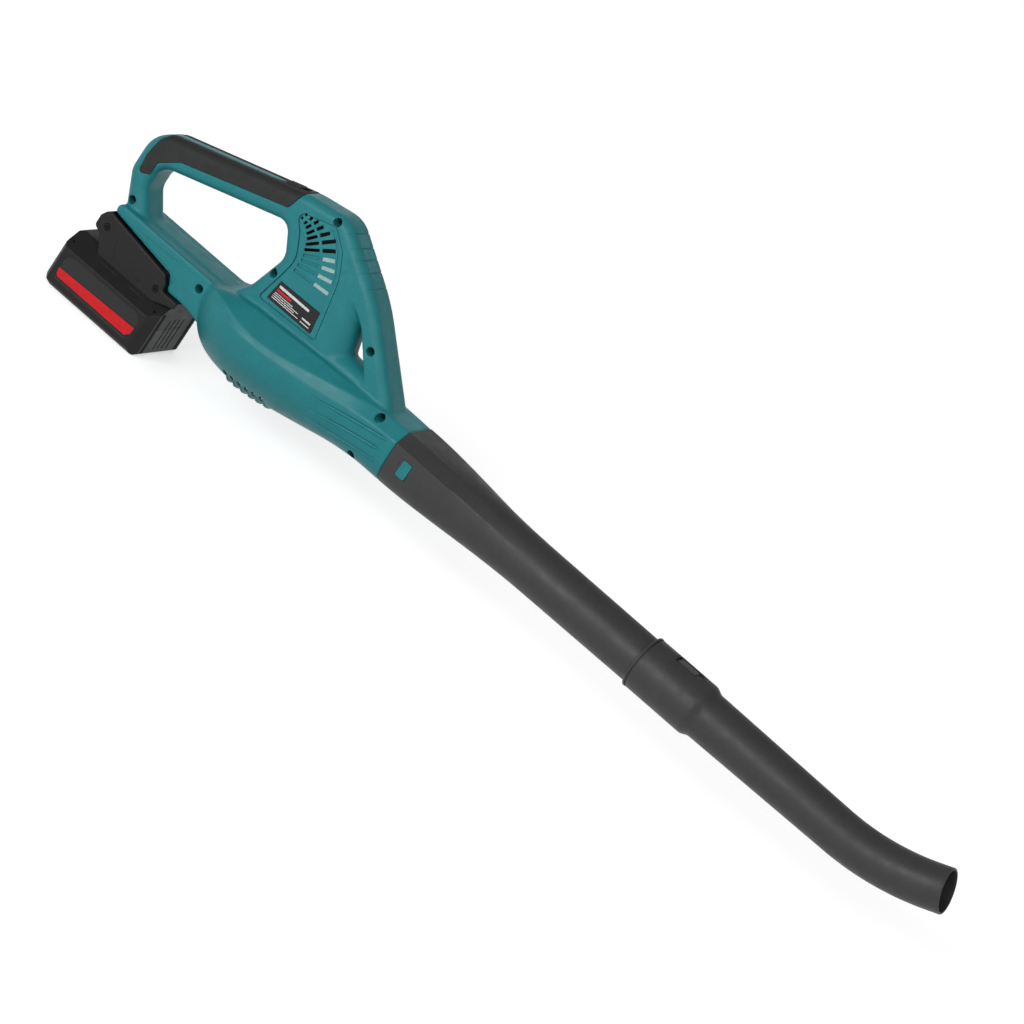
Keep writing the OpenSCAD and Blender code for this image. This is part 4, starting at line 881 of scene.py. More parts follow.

# %% [markdown]
# ## Painted shade behind the vents, and the grips
# The vents open into the hollow column. On the real one it is in shade behind them, so a thin dark
# plate paints that shade and keeps the eye from looking through both halves. The grips are cut from
# the handle's skin, and get a softer edge than the shells, because rubber is moulded rounder.

# %% Painted shade behind the vents
# a thin dark plate inside the column: painted shade behind the open vents
WEB = rounded([[112, 147, 3], [172, 147, 3], [170, 180, 3], [160, 203, 3], [150, 212, 3],
               [108, 204, 3], [106, 190, 3]], 4)
vent_backing = prism("vent_backing", WEB, 5.4, 7.0)
boolean(vent_backing, [plate("shade_plate_limit", inset(HANDLE, 1.2), HANDLE_HALF, 3.0)], "INTERSECT")
cut(vent_backing, plate("shade_plate_hole", inset(HAND_HOLE, -1.2), HANDLE_HALF, 3.0, flare=True),
    rod("shade_plate_boss", (141, -20, 214), (141, 20, 214), BOSS_R - 0.1))
print("painted shade plate:", len(vent_backing.data.polygons), "faces")

# %% Grip pads
grips = soften(grip_skin("grips", 0.15, PAD_T - 0.1, 0.0, 6.2), 0.5, 3)
cut(grips, bezel_block("bezel_gap", 0.35))
right_grip = half_of(grips, "right_grip", -1)
left_grip = half_of(grips, "left_grip", 1)
bpy.data.objects.remove(grips, do_unlink=True)
for grip in (right_grip, left_grip):
    thin_out(grip, 0.45)
print("grips:", len(right_grip.data.polygons), "faces each")

# %% Rear tube
BUTTON_X, BUTTON_Z = 325.0, 85.0
rear = tube_piece("rear_tube_shell", NECK_X + 0.35, TUBE_END, 0.0, 110)
cut(rear, tube_piece("rear_bore", NECK_X - 1, TUBE_END + 2, TUBE_WALL, 60))


def button_outline(grow):
    w, h = 5.0 + grow, 7.8 + grow
    return rounded([[BUTTON_X + a * w, BUTTON_Z + b * h, 1.6 + grow]
                    for a, b in ((-1, -1), (1, -1), (1, 1), (-1, 1))])


cut(rear, *on_both_sides(lambda a, b: prism("button_way", button_outline(0.4), a, b), 22, 40))
seats = on_both_sides(lambda a, b: prism("button_seat", button_outline(2.6), a, b), 33.3, 40)
cut(rear, *seats)
cut(rear, groove("mould_line", [(x, 0.0, float(tube_ring(x)[:, 2].max()) + 0.12)
                                for x in np.linspace(330, 585, 40)], 0.35))
lug = rounded([[616, -5.5, 1.5], [636, -5.5, 1.5], [636, 5.5, 1.5], [616, 5.5, 1.5]], 5)
join(rear, loft("lug", [in_plan(inset(lug, d), AXIS + z)
                        for z, d in ((21.6, 0.0), (23.5, 0.0), (23.9, 0.35))]))
soft_by_angle(rear, 38)
print("rear tube:", len(rear.data.polygons), "faces")

# %% Front tube
COLLAR_R = 25.6
COLLAR_BORE = 23.4
COLLAR_END = 663.0
FRONT_R = 22.5
MOUTH_R = 20.6
BEND_X = 812.0
BEND_R = 250.0
BEND = math.radians(22)
MOUTH_L = 14.0


def tube_axis(s):
    """Place and direction on the front tube's centre line, s along it from x = 0."""
    if s <= BEND_X:
        return np.array([s, 0, AXIS]), np.array([1.0, 0, 0])
    angle = min((s - BEND_X) / BEND_R, BEND)
    ahead = max(0.0, s - BEND_X - BEND_R * BEND)
    along = np.array([math.cos(angle), 0, math.sin(angle)])
    place = np.array([BEND_X + BEND_R * math.sin(angle), 0, AXIS + BEND_R * (1 - math.cos(angle))])
    return place + along * ahead, along


def turned_about_axis(name, outline, sides=128):
    """Rings about the centre line; the outline is [distance, radius], back to its first ring."""
    angles = np.linspace(0, 2 * math.pi, sides, endpoint=False)
    rings = []
    for s, r in outline:
        place, along = tube_axis(s)
        up = np.array([-along[2], 0, along[0]])
        circle = np.outer(np.cos(angles), (0, 1, 0)) + np.outer(np.sin(angles), up)
        rings.append(place + r * circle)
    rings.append(rings[0])
    return loft(name, rings, capped=False)


print("bend of", round(math.degrees(BEND)), "degrees at x =", BEND_X)

# %% Front tube's outline
END_S = BEND_X + BEND_R * BEND + MOUTH_L
# the collar's lip and the groove behind it, as steps in length and radius
COLLAR_LIP = [(0.3, -0.5), (0.6, 0.1), (1.2, 0.5), (2.4, 0.5), (2.9, 0.2), (3.0, -0.9), (4.1, -0.9),
              (4.2, -0.2), (4.6, 0.0)]
outside = [(COLLAR_X + 0.3, COLLAR_BORE)]
outside += [(COLLAR_X + along, COLLAR_R + out) for along, out in COLLAR_LIP]
outside += [(s, COLLAR_R) for s in np.linspace(596, COLLAR_END - 9.5, 14)]
shoulder = [(COLLAR_END - 9.5 + 9.5 * t, COLLAR_R + (FRONT_R - COLLAR_R) * ease(t))
            for t in np.linspace(0.08, 1, 12)]
outside += shoulder
outside += [(s, FRONT_R + (MOUTH_R - FRONT_R) * (s - COLLAR_END) / (BEND_X - COLLAR_END))
            for s in np.linspace(COLLAR_END + 6, BEND_X, 24)]
outside += [(s, MOUTH_R) for s in np.linspace(BEND_X + 4, END_S - 0.7, 34)]
outside += [(END_S - 0.25, MOUTH_R - 0.2), (END_S, MOUTH_R - 0.6), (END_S, MOUTH_R - 1.5),
            (END_S - 0.25, MOUTH_R - 1.85)]
inside = [(s, MOUTH_R - TUBE_WALL) for s in np.linspace(END_S - 1, BEND_X, 30)]
inside += [(COLLAR_END, FRONT_R - TUBE_WALL), (TUBE_END + 0.4, COLLAR_BORE)]
front = turned_about_axis("front_tube_shell", outside + inside)
print("front tube is", round(END_S - COLLAR_X), "mm long along its middle")

# %% Collar window
WINDOW = rounded([[614, -8.5, 1.6], [643, -8.5, 1.6], [643, 8.5, 1.6], [614, 8.5, 1.6]], 5)
cut(front, across_z("window", WINDOW, AXIS + 19.0, AXIS + 31.0),
    block("lug_way", (588, 615), (-5.8, 5.8), (AXIS, AXIS + 24.2)))
moat = across_z("window_line", inset(WINDOW, -1.7), AXIS + 24.75, AXIS + 31)
cut(moat, across_z("window_rim", inset(WINDOW, -0.9), AXIS + 20, AXIS + 32))
cut(front, moat)
soft_by_angle(front, 32)
print("front tube:", len(front.data.polygons), "faces")

# %% [markdown]
# ## The battery pack
# The pack is a block whose upright edges and lower rear edge are chamfered and whose shoulders
# slope in to the adaptor. Three outlines crossed with each other give that block, and the soft
# second skin turns its chamfers into moulded ones. It is split at its seam, as the real case is.

# %% Pack form
PACK_L, PACK_W, PACK_H = 115.0, 86.0, 56.0
PACK_WALL = 2.4
SHOULDER = 17.0
SEAM_H = 30.0
CHAMFER = 7.0
RAIL_X = (-40.0, 26.0)
RAIL_HALF = 25.0


def pack_block(name, drawn=0.0):
    w, l, h, c, d = PACK_W / 2 - drawn, PACK_L / 2 - drawn, PACK_H, CHAMFER, drawn
    half = [(w - c / 2 + 0.6 * d, d), (w, c / 2 + 0.4 * d), (w, h - SHOULDER - 0.4 * d),
            (w - SHOULDER + 0.6 * d, h - d)]
    cross = np.array(half + [(-y, z) for y, z in half[::-1]])
    side = np.array([(-l + c + 1, d), (l - 3, d), (l, 3 + d), (l, h - d), (-l + 3, h - d),
                     (-l, h - 3 - d), (-l, c + d)])
    plan = np.array([(l, -w + c), (l, w - c), (l - 1.25 * c, w), (-l + 4, w), (-l, w - 4),
                     (-l, -w + 4), (-l + 4, -w), (l - 1.25 * c, -w)])
    item = across_x(name, cross, -80, 80)
    return boolean(item, [prism("side", side, -60, 60), across_z("plan", plan, -10, 90)],
                   "INTERSECT")


print("pack", PACK_L, "x", PACK_W, "x", PACK_H, "mm")

# %% Pack solid, grooves and wells
LABEL = rounded([[-48, 9, 3], [44, 9, 4], [46, 30, 8], [39, 36.5, 5], [-38, 36.5, 5], [-50, 32, 8]])
pack = pack_block("pack")
cuts = on_both_sides(lambda a, b: prism("label_seat", LABEL, a, b), PACK_W / 2 - 0.6, 60)
for y in (-30, 30):
    rib = rounded([[y - 2.6, 3, 2], [y + 2.6, 3, 2], [y + 2.6, 47, 2], [y - 2.6, 47, 2]], 4)
    cuts.append(across_x("front_groove", rib, PACK_L / 2 - 1.6, 80))
for y in np.linspace(-12, 12, 4):
    rib = rounded([[y - 1.2, 6, 1.1], [y + 1.2, 6, 1.1], [y + 1.2, 40, 1.1], [y - 1.2, 40, 1.1]], 4)
    cuts.append(across_x("front_rib", rib, PACK_L / 2 - 0.8, 80))
POSTS = [(x, y) for x in (50, -52) for y in (-36, 36)]
for x, y in POSTS:
    cuts.append(rod("case_well", (x, y, -2), (x, y, 6), 3.0, sides=28))
cut(pack, *cuts)
soften(pack, 0.62, 4)
lines = [groove("seam", [(x, side * (PACK_W / 2 + 0.15), SEAM_H)
                         for x in np.linspace(-54, 50, 12)], 0.5) for side in (-1, 1)]
SHOULDER_LINES = [(-30, -9, 5.5), (-24, 2, 9.5), (6, 30, 5.5), (12, 36, 9.5)]
for side in (-1, 1):
    for x0, x1, down in SHOULDER_LINES:
        y, z = PACK_W / 2 - SHOULDER + down, PACK_H - down
        lines.append(groove("shoulder_line", [(x, side * (y + 0.25), z + 0.25)
                                              for x in np.linspace(x0, x1, 8)], 0.8))
cut(pack, *lines)

print("pack skin:", len(pack.data.polygons), "faces")

# %% Cases and rail
pack_space = pack_block("pack_space", PACK_WALL)
cut(pack_space, *[rod("post", (x, y, 0), (x, y, 60), 4.0, sides=24) for x, y in POSTS])
cut(pack, pack_space)
cut(pack, *[rod("post_way", (x, y, -1), (x, y, 46), 1.65, sides=20) for x, y in POSTS])


def seam_cut(name, low, high):
    return block(name, (-100, 100), (-80, 80), (low, high))


lower_case = cut(copy_of(pack, "lower_case"), seam_cut("above", SEAM_H - 0.07, 120))
upper_case = cut(copy_of(pack, "upper_case"), seam_cut("below", -20, SEAM_H + 0.07))
bpy.data.objects.remove(pack, do_unlink=True)
rail = rounded([[RAIL_X[0], -RAIL_HALF, 3], [RAIL_X[1], -RAIL_HALF, 2],
                [RAIL_X[1], RAIL_HALF, 2], [RAIL_X[0], RAIL_HALF, 3]], 4)
rail_head = loft("rail_head", [in_plan(inset(rail, d), z) for z, d in
                               ((PACK_H + 4, 0.3), (PACK_H + 4.4, 0), (65.5, 0), (66, 0.5))],
                 smooth=False)
join(upper_case, block("rail_neck", (RAIL_X[0] + 0.4, RAIL_X[1] - 0.4), (-20, 20),
                       (PACK_H - 1.2, PACK_H + 4.2)))
join(upper_case, rail_head)
HOOK_X = -41.5
ways = [block("blade_way", (RAIL_X[1] - 18, RAIL_X[1] + 2), (y - 1.6, y + 1.6),
              (PACK_H - 3.4, 65.4)) for y in (-14, 14)]
ways.append(block("release_way", (-60, -52.2), (-15.3, 15.3), (31.7, 54.3)))
ways.append(block("hook_way", (HOOK_X - 5.3, HOOK_X + 0.3), (-7.3, 7.3), (46, 57)))
cut(upper_case, *ways)
soft_by_angle(lower_case, 40)
soft_by_angle(upper_case, 40)
thin_out(lower_case, 0.6)
print("pack cases:", len(lower_case.data.polygons), len(upper_case.data.polygons), "faces")

# %% Release button
release = block("release_tab", (-56.9, -52.6), (-15, 15), (36, 54))
grips_cut = []
for i in range(5):
    z = 38.6 + i * 3.1
    grips_cut.append(rod("tab_groove", (-57.2, -12, z), (-57.2, 12, z), 1.0, sides=20))
cut(release, *grips_cut)
soften(release, 0.4, 3)
join(release, block("tab_arm", (-52.9, HOOK_X), (-7, 7), (50, 52.6)),
     prism("tab_hook", np.array([(HOOK_X - 4, 52.4), (HOOK_X, 52.4), (HOOK_X, 59.2),
                                 (HOOK_X - 1, 59.4), (HOOK_X - 4, 56.6)]), -7, 7))
join(release, block("tab_skirt", (-53.6, -52.8), (-15, 15), (31.9, 37)))
soft_by_angle(release, 35)
print("release tab:", len(release.data.polygons), "faces")

# %% [markdown]
# ## The release spring
# A small coil pushes the tab back up. The CAD model has plain rings here; a real coil is a bar
# swept along a helix, with its end turns laid flat.

# %% Release spring
COIL_R = 2.6
COIL_WIRE = 0.45
COIL_TURNS = 4.0
FLAT_ENDS = 0.16
coil_low, coil_high = (np.array(corner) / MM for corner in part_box("release_spring"))
coil_mid = (coil_low + coil_high) / 2
coil_path = []
for t in np.linspace(0, 1, 97):
    angle = 2 * math.pi * COIL_TURNS * t
    climb = min(1.0, max(0.0, (t - FLAT_ENDS) / (1 - 2 * FLAT_ENDS)))
    rise = ease(climb) * 0.35 + climb * 0.65
    z = coil_low[2] + COIL_WIRE + rise * (coil_high[2] - coil_low[2] - 2 * COIL_WIRE)
    coil_path.append((coil_mid[0] + COIL_R * math.cos(angle),
                      coil_mid[1] + COIL_R * math.sin(angle), z))
coil = sweep("release_coil", coil_path, [COIL_WIRE] * len(coil_path), sides=10)
coil_height = float(coil_high[2] - coil_low[2])
print("coil:", len(coil.data.polygons), "faces,", round(coil_height, 1), "mm high")

# %% [markdown]
# ## The adaptor
# The dark adaptor hangs under the base and holds the pack by its rail. Its outline has a lobe round
# each screw. The outer form is made from one side outline and softened; the hollow, the rail's
# channel and the bay for the terminals are cut afterwards, to the measures the pack needs.

# %% Adaptor form
ADAPTOR = rounded([
    [-28.5, 48, 2], [39, 48, 4], [56, 54.5, 6], [62, 56, 1.2], [62, 63.2, 1.2], [43.7, 63.2, 1.5],
    [42.7, 70, 2], [37.2, 77.3, 2.5], [-38, 88.6, 3], [-43, 86, 4], [-46.5, 80, 4], [-46.5, 69, 4],
    [-38.4, 65.5, 3]])
ADAPTOR_HALF = 33.0
TAB_SPOTS = [(-34.5, 75.0), (36.8, 60.6)]
adaptor = plate("adaptor_shell", ADAPTOR, ADAPTOR_HALF, 1.8)
dents = []
for x, z in TAB_SPOTS:
    dents += on_both_sides(lambda a, b: rod("adaptor_well", (x, a, z), (x, b, z), 3.2), 30.8, 40)
cut(adaptor, *dents)
soften(adaptor, 0.6, 4)
RIDGE = [(-18.9, 67.1), (-12.4, 54.9), (26.0, 55.9)]
join(adaptor, *[sweep("ridge", [(x, side * ADAPTOR_HALF, z) for x, z in part], [0.4, 0.4])
                for side in (-1, 1) for part in (RIDGE[:2], RIDGE[1:])])
clear = 0.4
w, h = PACK_W / 2 + clear, PACK_H
half = [(w - CHAMFER / 2, -clear), (w, CHAMFER / 2 - 0.2), (w, h - SHOULDER + 0.2),
        (w - SHOULDER + 0.2, h + clear)]
channel = across_x("pack_way", np.array(half + [(-y, z) for y, z in half[::-1]]), -115, 57.9)
join(channel, block("rail_way", (-115, 26.4), (-25.4, 25.4), (59.6, 66.4)),
     block("neck_way", (-115, 26.4), (-20.4, 20.4), (55, 66)))
cut(adaptor, channel)
bay = prism("bay", np.array([(35.4, 69.1), (35.4, 106), (-43, 106), (-43, 69.1)]), -30.4, 30.4)
cut(adaptor, bay, block("terminal_bay", (27.7, 42.3), (-20.3, 20.3), (56, 76.3)),
    block("blade_bay", (25.8, 28.2), (-18, 18), (60, 66)))
tabs = []
for x, z in TAB_SPOTS:
    top = 89 + (-6 if x > 0 else 3)
    for side in (-1, 1):
        low, high = sorted((side * 26.45, side * 30.35))
        tabs.append(block("tab_way", (x - 5.75, x + 5.75), (low, high), (z - 4.65, top + 0.25)))
    tabs.append(rod("tab_screw_way", (x, -34, z), (x, 34, z), 1.45, sides=20))
cut(adaptor, *tabs)
soft_by_angle(adaptor, 40)
print("adaptor:", len(adaptor.data.polygons), "faces")

# %% [markdown]
# ## Small parts
# The lock buttons, the switch's bezel and knob and the label plates are small, so their rounded
# edges are what the eye reads. The buttons and the knob are softened from solids with ridges; the
# labels are thin rounded plates with plain bars, and carry no lettering.

# %% Lock buttons, bezel and knob
FLANGE_Y = 29.4
right_button = prism("right_button", button_outline(0.0), -33.8, -FLANGE_Y + 0.2, smooth=False)
dish = sweep("dish", [(BUTTON_X, -46.6, BUTTON_Z - 12), (BUTTON_X, -46.0, BUTTON_Z),
                      (BUTTON_X, -46.6, BUTTON_Z + 12)], [12.6] * 3, sides=64)
cut(right_button, dish)
soften(right_button, 0.22, 4)
join(right_button, block("flange", (BUTTON_X - 6.4, BUTTON_X + 6.4), (-FLANGE_Y, -FLANGE_Y + 1.4),
                         (BUTTON_Z - 9, BUTTON_Z + 9)))
soft_by_angle(right_button, 40)
left_button = mirrored(right_button, "left_button")
print("lock button:", len(right_button.data.polygons), "faces")


def pill(name, half_l, half_w, radius, levels):
    """A rounded slab; levels are [height, inset]."""
    outline = rounded([[-half_l, -half_w, radius], [half_l, -half_w, radius],
                       [half_l, half_w, radius], [-half_l, half_w, radius]], 8)
    return loft(name, [in_plan(inset(outline, d), z) for z, d in levels])


bezel = pill("bezel", 14.4, 8.4, 2.6, [(-1, 0), (0.8, 0), (1.15, 0.2), (1.35, 0.6), (1.4, 1.1)])
join(bezel, block("bezel_leg", (-12.4, 12.4), (-6.4, 6.4), (-8.9, -0.8)))
cut(bezel, block("knob_way", (-11.8, 11.8), (-5.8, 5.8), (-4, 5)),
    block("stem_way", (-9.5, 9.5), (-2.5, 2.5), (-10, 0)))
on_handle_top(soft_by_angle(bezel, 30))
knob = pill("knob", 8.0, 5.5, 1.6, [(-3.7, 0), (1.9, 0), (2.4, 0.15), (2.7, 0.5), (2.8, 1.0)])
cut(knob, *[rod("knob_groove", (x, -7, 3.1), (x, 7, 3.1), 0.75, sides=20)
            for x in np.linspace(-4.8, 4.8, 5)])
join(knob, block("stem", (-2, 2), (-2.1, 2.1), (-11.9, -3.6)))
knob.data.transform(Matrix.Translation((-3.5 * MM, 0, 0)))
on_handle_top(soft_by_angle(knob, 30))
print("bezel and knob:", len(bezel.data.polygons), len(knob.data.polygons), "faces")

# %% Labels
NAMEPLATE = rounded([[124.5, 119, 1], [177.5, 119, 1], [174.5, 140, 1], [127.5, 139, 1]], 5)
label_plate = loft("label_plate", [in_side_view(inset(NAMEPLATE, d), y)
                                   for y, d in ((-19.2, 0), (-19.72, 0), (-19.9, 0.25))])
soft_by_angle(label_plate, 30)


def bars(name, rows, y, lift):
    """Thin printed bars; rows are [x0, x1, z, height]."""
    item = None
    for x0, x1, z, tall in rows:
        outline = rounded([[x0, z, 0.2], [x1, z, 0.2], [x1, z + tall, 0.2], [x0, z + tall, 0.2]], 2)
        bar = loft("bar", [in_side_view(outline, y), in_side_view(outline, y - lift)], smooth=False)
        item = bar if item is None else join(item, bar)
    item.name = name
    return item


pale_bars = bars("label_pale_bars", [
    (129.5, 165, 133.4, 2.4), (128.5, 150, 127.4, 0.7), (128.4, 158, 125.6, 0.7),
    (128.2, 154, 123.8, 0.7), (128.0, 160, 122.0, 0.7), (163, 173, 124.8, 1.6),
    (163, 173.6, 121.6, 0.9)], -19.88, 0.08)
red_bar = bars("label_red_bar", [(129.2, 146, 129.6, 2.2)], -19.88, 0.08)
BAND = rounded([[-47.6, 13.5, 1.5], [-45, 11.6, 1], [39.5, 11.6, 1], [45.2, 17.2, 1.5],
                [44.6, 22.6, 1], [-48.4, 19.6, 1]], 4)
FIELD = rounded([[-47.3, 20.4, 1], [44.3, 23.4, 1], [44.4, 30, 7], [38.4, 35.3, 4],
                 [-37.6, 35.3, 4], [-48.6, 31.4, 6]], 5)


def both_labels(name, outline, y, lift):
    right = prism(name + "_right", outline, -y - lift, -y)
    return right, mirrored(right, name + "_left")


right_band, left_band = both_labels("red_band", BAND, PACK_W / 2 - 0.62, 0.14)
right_field, left_field = both_labels("dark_field", FIELD, PACK_W / 2 - 0.62, 0.1)
print("labels are plain: bars and bands only")

# %% Slot floors
def pale_floors(name):
    """The four outer blind slots have a pale floor."""
    floors = [prism(name, inset(vent_outlines(row)[1], 0.05), -BLIND_Y - 0.25, -BLIND_Y + 0.05)
              for row in range(OPEN_ROWS, len(VENT_ROWS))]
    return join(floors[0], *floors[1:])


right_floors = pale_floors("slot_floors_right")
left_floors = mirrored(right_floors, "slot_floors_left")
print("slot floors:", len(right_floors.data.polygons), "faces")

# %% [markdown]
# ## Finishes
# Moulded plastic looks like plastic because of small things: a spark-eroded grain in the mould, a
# colour that is never quite even, patches polished by hands, and pale rubbed edges. One recipe
# gives all of them, with its own numbers for each finish. The grain is bump from two noises, the
# wear sits where the mesh is sharpest, and the constant values stay on the shader itself.


# %% Node helpers
def node(tree, kind, **values):
    made = tree.nodes.new(kind)
    for key, value in values.items():
        setattr(made, key, value)
    return made


def noise_of(tree, coordinates, scale, detail=3.0, rough=0.5):
    made = node(tree, "ShaderNodeTexNoise")
    made.inputs["Scale"].default_value = scale
    made.inputs["Detail"].default_value = detail
    made.inputs["Roughness"].default_value = rough
    tree.links.new(coordinates, made.inputs["Vector"])
    return made.outputs["Fac"]


def spread_of(tree, value, low, high, to_low, to_high):
    made = node(tree, "ShaderNodeMapRange")
    made.clamp = True
    for key, number in (("From Min", low), ("From Max", high), ("To Min", to_low),
                        ("To Max", to_high)):
        made.inputs[key].default_value = number
    tree.links.new(value, made.inputs["Value"])
    return made.outputs["Result"]


def mixed(tree, factor, first, second):
    made = node(tree, "ShaderNodeMix", data_type="RGBA")
    tree.links.new(factor, made.inputs["Factor"])
    for value, socket in ((first, made.inputs["A"]), (second, made.inputs["B"])):
        if isinstance(value, tuple):
            socket.default_value = (*value, 1.0)
        else:
            tree.links.new(value, socket)
    return made.outputs["Result"]


def shaded(colour, factor):
    return tuple(c * factor for c in colour)


print("helpers", [helper.__name__ for helper in (node, noise_of, spread_of, mixed, shaded)])


# %% One recipe for every finish
def finish(name, colour, rough, grain=900.0, grain_depth=0.06, uneven=0.10, wear=0.5,
           worn=None, metal=0.0, rough_spread=0.08, lines=None, specular=0.5, patch=60.0):
    """A surface with uneven colour, grain, varied roughness and rubbed edges."""
    made = bpy.data.materials.new(name)
    made.use_nodes = True
    tree = made.node_tree
    shader = tree.nodes["Principled BSDF"]
    place = node(tree, "ShaderNodeTexCoord").outputs["Object"]
    if lines:
        stretch = node(tree, "ShaderNodeMapping")
        stretch.inputs["Scale"].default_value = lines
        tree.links.new(place, stretch.inputs["Vector"])
        fine_place = stretch.outputs["Vector"]
    else:
        fine_place = place
    cloud = noise_of(tree, place, patch, 4.0, 0.6)
    speck = noise_of(tree, fine_place, grain * 0.55, 2.0)
    base = mixed(tree, spread_of(tree, cloud, 0.3, 0.7, 0, 1), shaded(colour, 1 - uneven),
                 shaded(colour, 1 + uneven))
    base = mixed(tree, spread_of(tree, speck, 0.35, 0.75, 0, 0.35), base, shaded(colour, 0.72))
    edge = node(tree, "ShaderNodeNewGeometry").outputs["Pointiness"]
    rub = spread_of(tree, edge, 0.53, 0.62, 0.0, wear)
    scuff = node(tree, "ShaderNodeMath", operation="MULTIPLY")
    tree.links.new(rub, scuff.inputs[0])
    tree.links.new(spread_of(tree, noise_of(tree, place, 240.0, 3.0), 0.35, 0.6, 0.25, 1.0),
                   scuff.inputs[1])
    worn = worn or tuple(min(1.0, c * 1.5 + 0.02) for c in colour)
    base = mixed(tree, scuff.outputs[0], base, worn)
    tree.links.new(base, shader.inputs["Base Color"])
    tree.links.new(spread_of(tree, noise_of(tree, place, 95.0, 5.0, 0.65), 0.3, 0.7,
                             max(0.05, rough - rough_spread), min(1.0, rough + rough_spread)),
                   shader.inputs["Roughness"])
    shader.inputs["Metallic"].default_value = metal
    shader.inputs["Specular IOR Level"].default_value = specular
    height = node(tree, "ShaderNodeMath", operation="ADD")
    tree.links.new(noise_of(tree, fine_place, grain, 2.0, 0.6), height.inputs[0])
    tree.links.new(spread_of(tree, noise_of(tree, place, grain * 0.2, 2.0), 0, 1, 0, 0.6),
                   height.inputs[1])
    bump = node(tree, "ShaderNodeBump")
    bump.inputs["Strength"].default_value = grain_depth * 6
    bump.inputs["Distance"].default_value = 0.00012
    tree.links.new(height.outputs[0], bump.inputs["Height"])
    tree.links.new(bump.outputs["Normal"], shader.inputs["Normal"])
    return made


print("finish takes", finish.__code__.co_argcount, "values, most with a default")

# %% This blower's finishes
TEAL = (0.017, 0.215, 0.238)
FINISHES = {
    "housing": finish("teal_moulding", TEAL, 0.42, 850, 0.045, 0.06, 0.5, worn=(0.07, 0.34, 0.36),
                      specular=0.27),
    "grip": finish("soft_grip", (0.022, 0.024, 0.023), 0.66, 620, 0.12, 0.12, 0.3, specular=0.3),
    "plate": finish("label_gloss", (0.008, 0.008, 0.009), 0.3, 1500, 0.01, 0.1, 0.2, specular=0.3),
    "black_plastic": finish("black_moulding", (0.016, 0.016, 0.017), 0.5, 900, 0.06, 0.1, 0.4,
                            specular=0.3),
    "tube_plastic": finish("tube_moulding", (0.040, 0.040, 0.041), 0.48, 800, 0.05, 0.07, 0.4,
                           specular=0.35),
    "pack_plastic": finish("pack_moulding", (0.011, 0.011, 0.012), 0.46, 700, 0.11, 0.1, 0.4,
                           specular=0.24),
    "steel": finish("screw_steel", (0.19, 0.19, 0.2), 0.36, 1200, 0.02, 0.15, 0.4, metal=1.0),
    "dark_metal": finish("magnet", (0.08, 0.08, 0.085), 0.5, 900, 0.05, 0.1, 0.4, metal=0.8),
    "copper": finish("copper_parts", (0.72, 0.36, 0.18), 0.32, 1300, 0.02, 0.15, 0.3, metal=1.0),
    "board": finish("circuit_board", (0.02, 0.13, 0.05), 0.35, 1200, 0.03, 0.1, 0.2),
    "wire": finish("wire_sleeve", (0.35, 0.02, 0.02), 0.45, 1500, 0.03, 0.1, 0.1),
    "holder": finish("holder_plastic", (0.66, 0.66, 0.62), 0.5, 900, 0.04, 0.05, 0.1),
    "cell": finish("cell_sleeve", (0.04, 0.12, 0.36), 0.28, 1500, 0.01, 0.08, 0.1),
}
# near-black steel as painted shade, for the screws deep in their wells and the wires behind the
# vents
BLACK_STEEL = finish("steel_painted_as_shade", (0.009, 0.009, 0.010), 0.42, 1200, 0.02, 0.15, 0.3,
                     metal=0.5, specular=0.15)
RED_PRINT = finish("red_print", (0.66, 0.008, 0.012), 0.34, 1400, 0.012, 0.06, 0.2, specular=0.3)
PALE_PRINT = finish("pale_print", (0.72, 0.72, 0.72), 0.4, 1400, 0.012, 0.05, 0.1)
FIELD_PRINT = finish("dark_print", (0.010, 0.010, 0.011), 0.36, 800, 0.06, 0.1, 0.2, specular=0.35)
PALE_MOULDING = finish("pale_moulding", (0.34, 0.50, 0.50), 0.4, 850, 0.045, 0.06, 0.2)
print(len(FINISHES) + 5, "finishes")
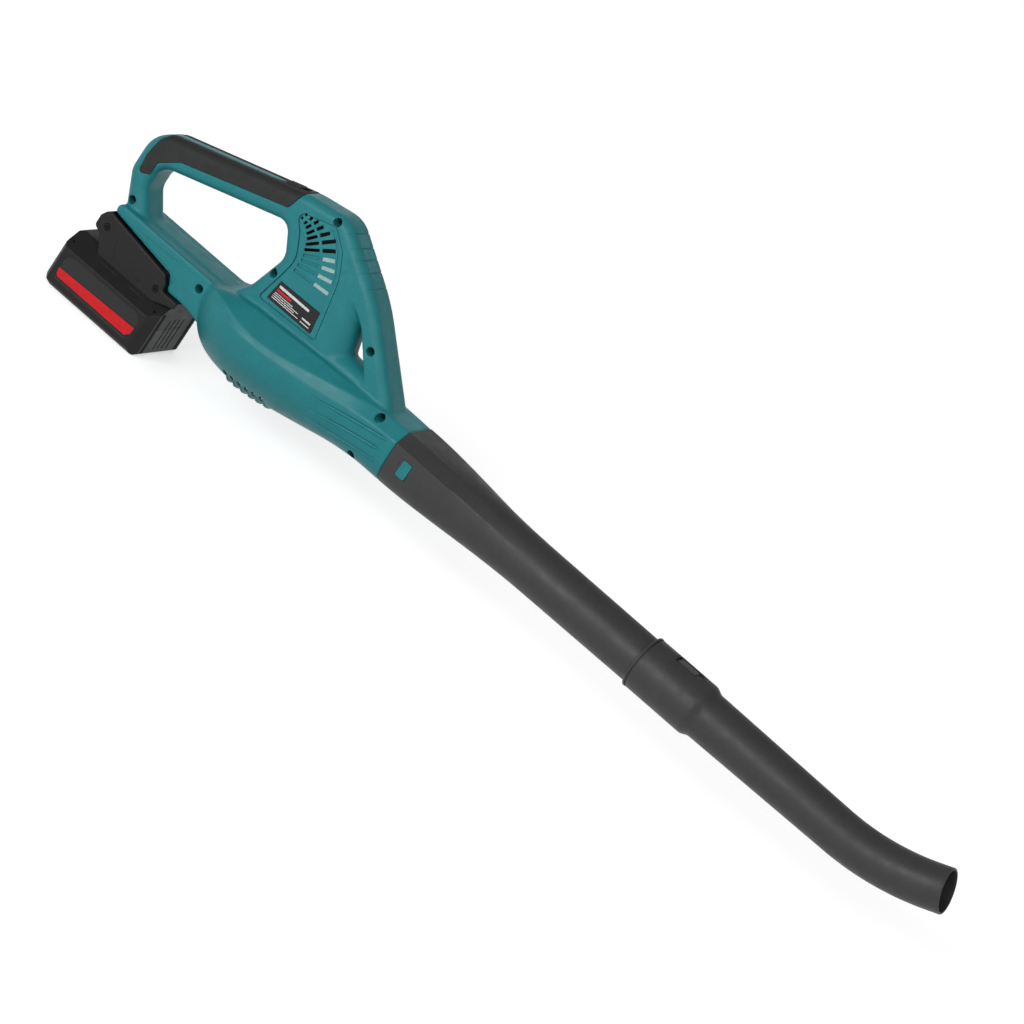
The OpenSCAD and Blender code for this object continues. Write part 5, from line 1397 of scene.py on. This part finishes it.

# %% [markdown]
# ## Putting it together
# Each new piece rides on the body it belongs to. The large ones stand for one CAD solid each, and
# the trim lies on or behind them. The inner parts that show through the vents, or when the pack or
# a tube is drawn off, stay as the CAD made them and get a finish from their slot; the screws and
# the wires instead get near-black steel, painted shade for the shade they sit in.

# %% Riding and finishes
BUILT = [
    (right_shell, "blower", "right_housing", "housing"),
    (left_shell, "blower", "left_housing", "housing"),
    (right_grip, "blower", "right_grip_pad", "grip"),
    (left_grip, "blower", "left_grip_pad", "grip"),
    (bezel, "blower", "switch_bezel", "black_plastic"),
    (knob, "knob", "slide_knob", "black_plastic"),
    (label_plate, "blower", "nameplate", "plate"),
    (adaptor, "blower", "adaptor", "pack_plastic"),
    (rear, "rear_tube", "rear_tube", "tube_plastic"),
    (front, "front_tube", "front_tube", "tube_plastic"),
    (right_button, "right_lock", "right_lock_button", "housing"),
    (left_button, "left_lock", "left_lock_button", "housing"),
    (lower_case, "battery", "battery_lower_case", "pack_plastic"),
    (upper_case, "battery", "battery_upper_case", "pack_plastic"),
    (release, "release", "release_button", "black_plastic"),
    (coil, "battery", "release_spring", "steel"),
]
TRIM = [
    (pale_bars, "blower", "plate", PALE_PRINT), (red_bar, "blower", "plate", RED_PRINT),
    (right_band, "battery", "pack_plastic", RED_PRINT),
    (left_band, "battery", "pack_plastic", RED_PRINT),
    (right_field, "battery", "pack_plastic", FIELD_PRINT),
    (left_field, "battery", "pack_plastic", FIELD_PRINT),
    (right_floors, "blower", "housing", PALE_MOULDING),
    (left_floors, "blower", "housing", PALE_MOULDING),
    # the dark plate behind the vents is painted shade
    (vent_backing, "blower", "black_plastic", FINISHES["black_plastic"]),
]


def dress(piece, material):
    piece.data.materials.clear()
    piece.data.materials.append(material)


replaced = set()
for piece, body, cad_node, slot in BUILT:
    dress(piece, FINISHES[slot])
    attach(piece, body)
    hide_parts(cad_node)
    replaced.add(cad_node)
for piece, body, slot, material in TRIM:
    dress(piece, material)
    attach(piece, body)
print(len(BUILT), "pieces built and", len(TRIM), "pieces of trim")

# %% Coil, and finishes for the solids that stay
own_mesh(coil)
# the screws deep in their wells and the wires seen through the vents are painted near black as
# shade
BLACKENED = {"adaptor_screws", "housing_screws", "battery_screws", "motor_wires",
             "supply_wires"}
slots = {part["node"]: part["material_slot"] for part in frame["record"]["subparts"]}
for name, item in nodes.items():
    if name in replaced:
        continue
    for holder in item.material_slots:
        holder.link = "OBJECT"
        holder.material = BLACK_STEEL if name in BLACKENED else FINISHES[slots[name]]
print(len(replaced), "solids replaced,", len(nodes) - len(replaced), "kept and finished")

# %% Size and end
size = {"cad": [[float(v) for v in corner] for corner in cad_box],
        "visual": [[float(v) for v in corner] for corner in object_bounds()]}
print("size", size)
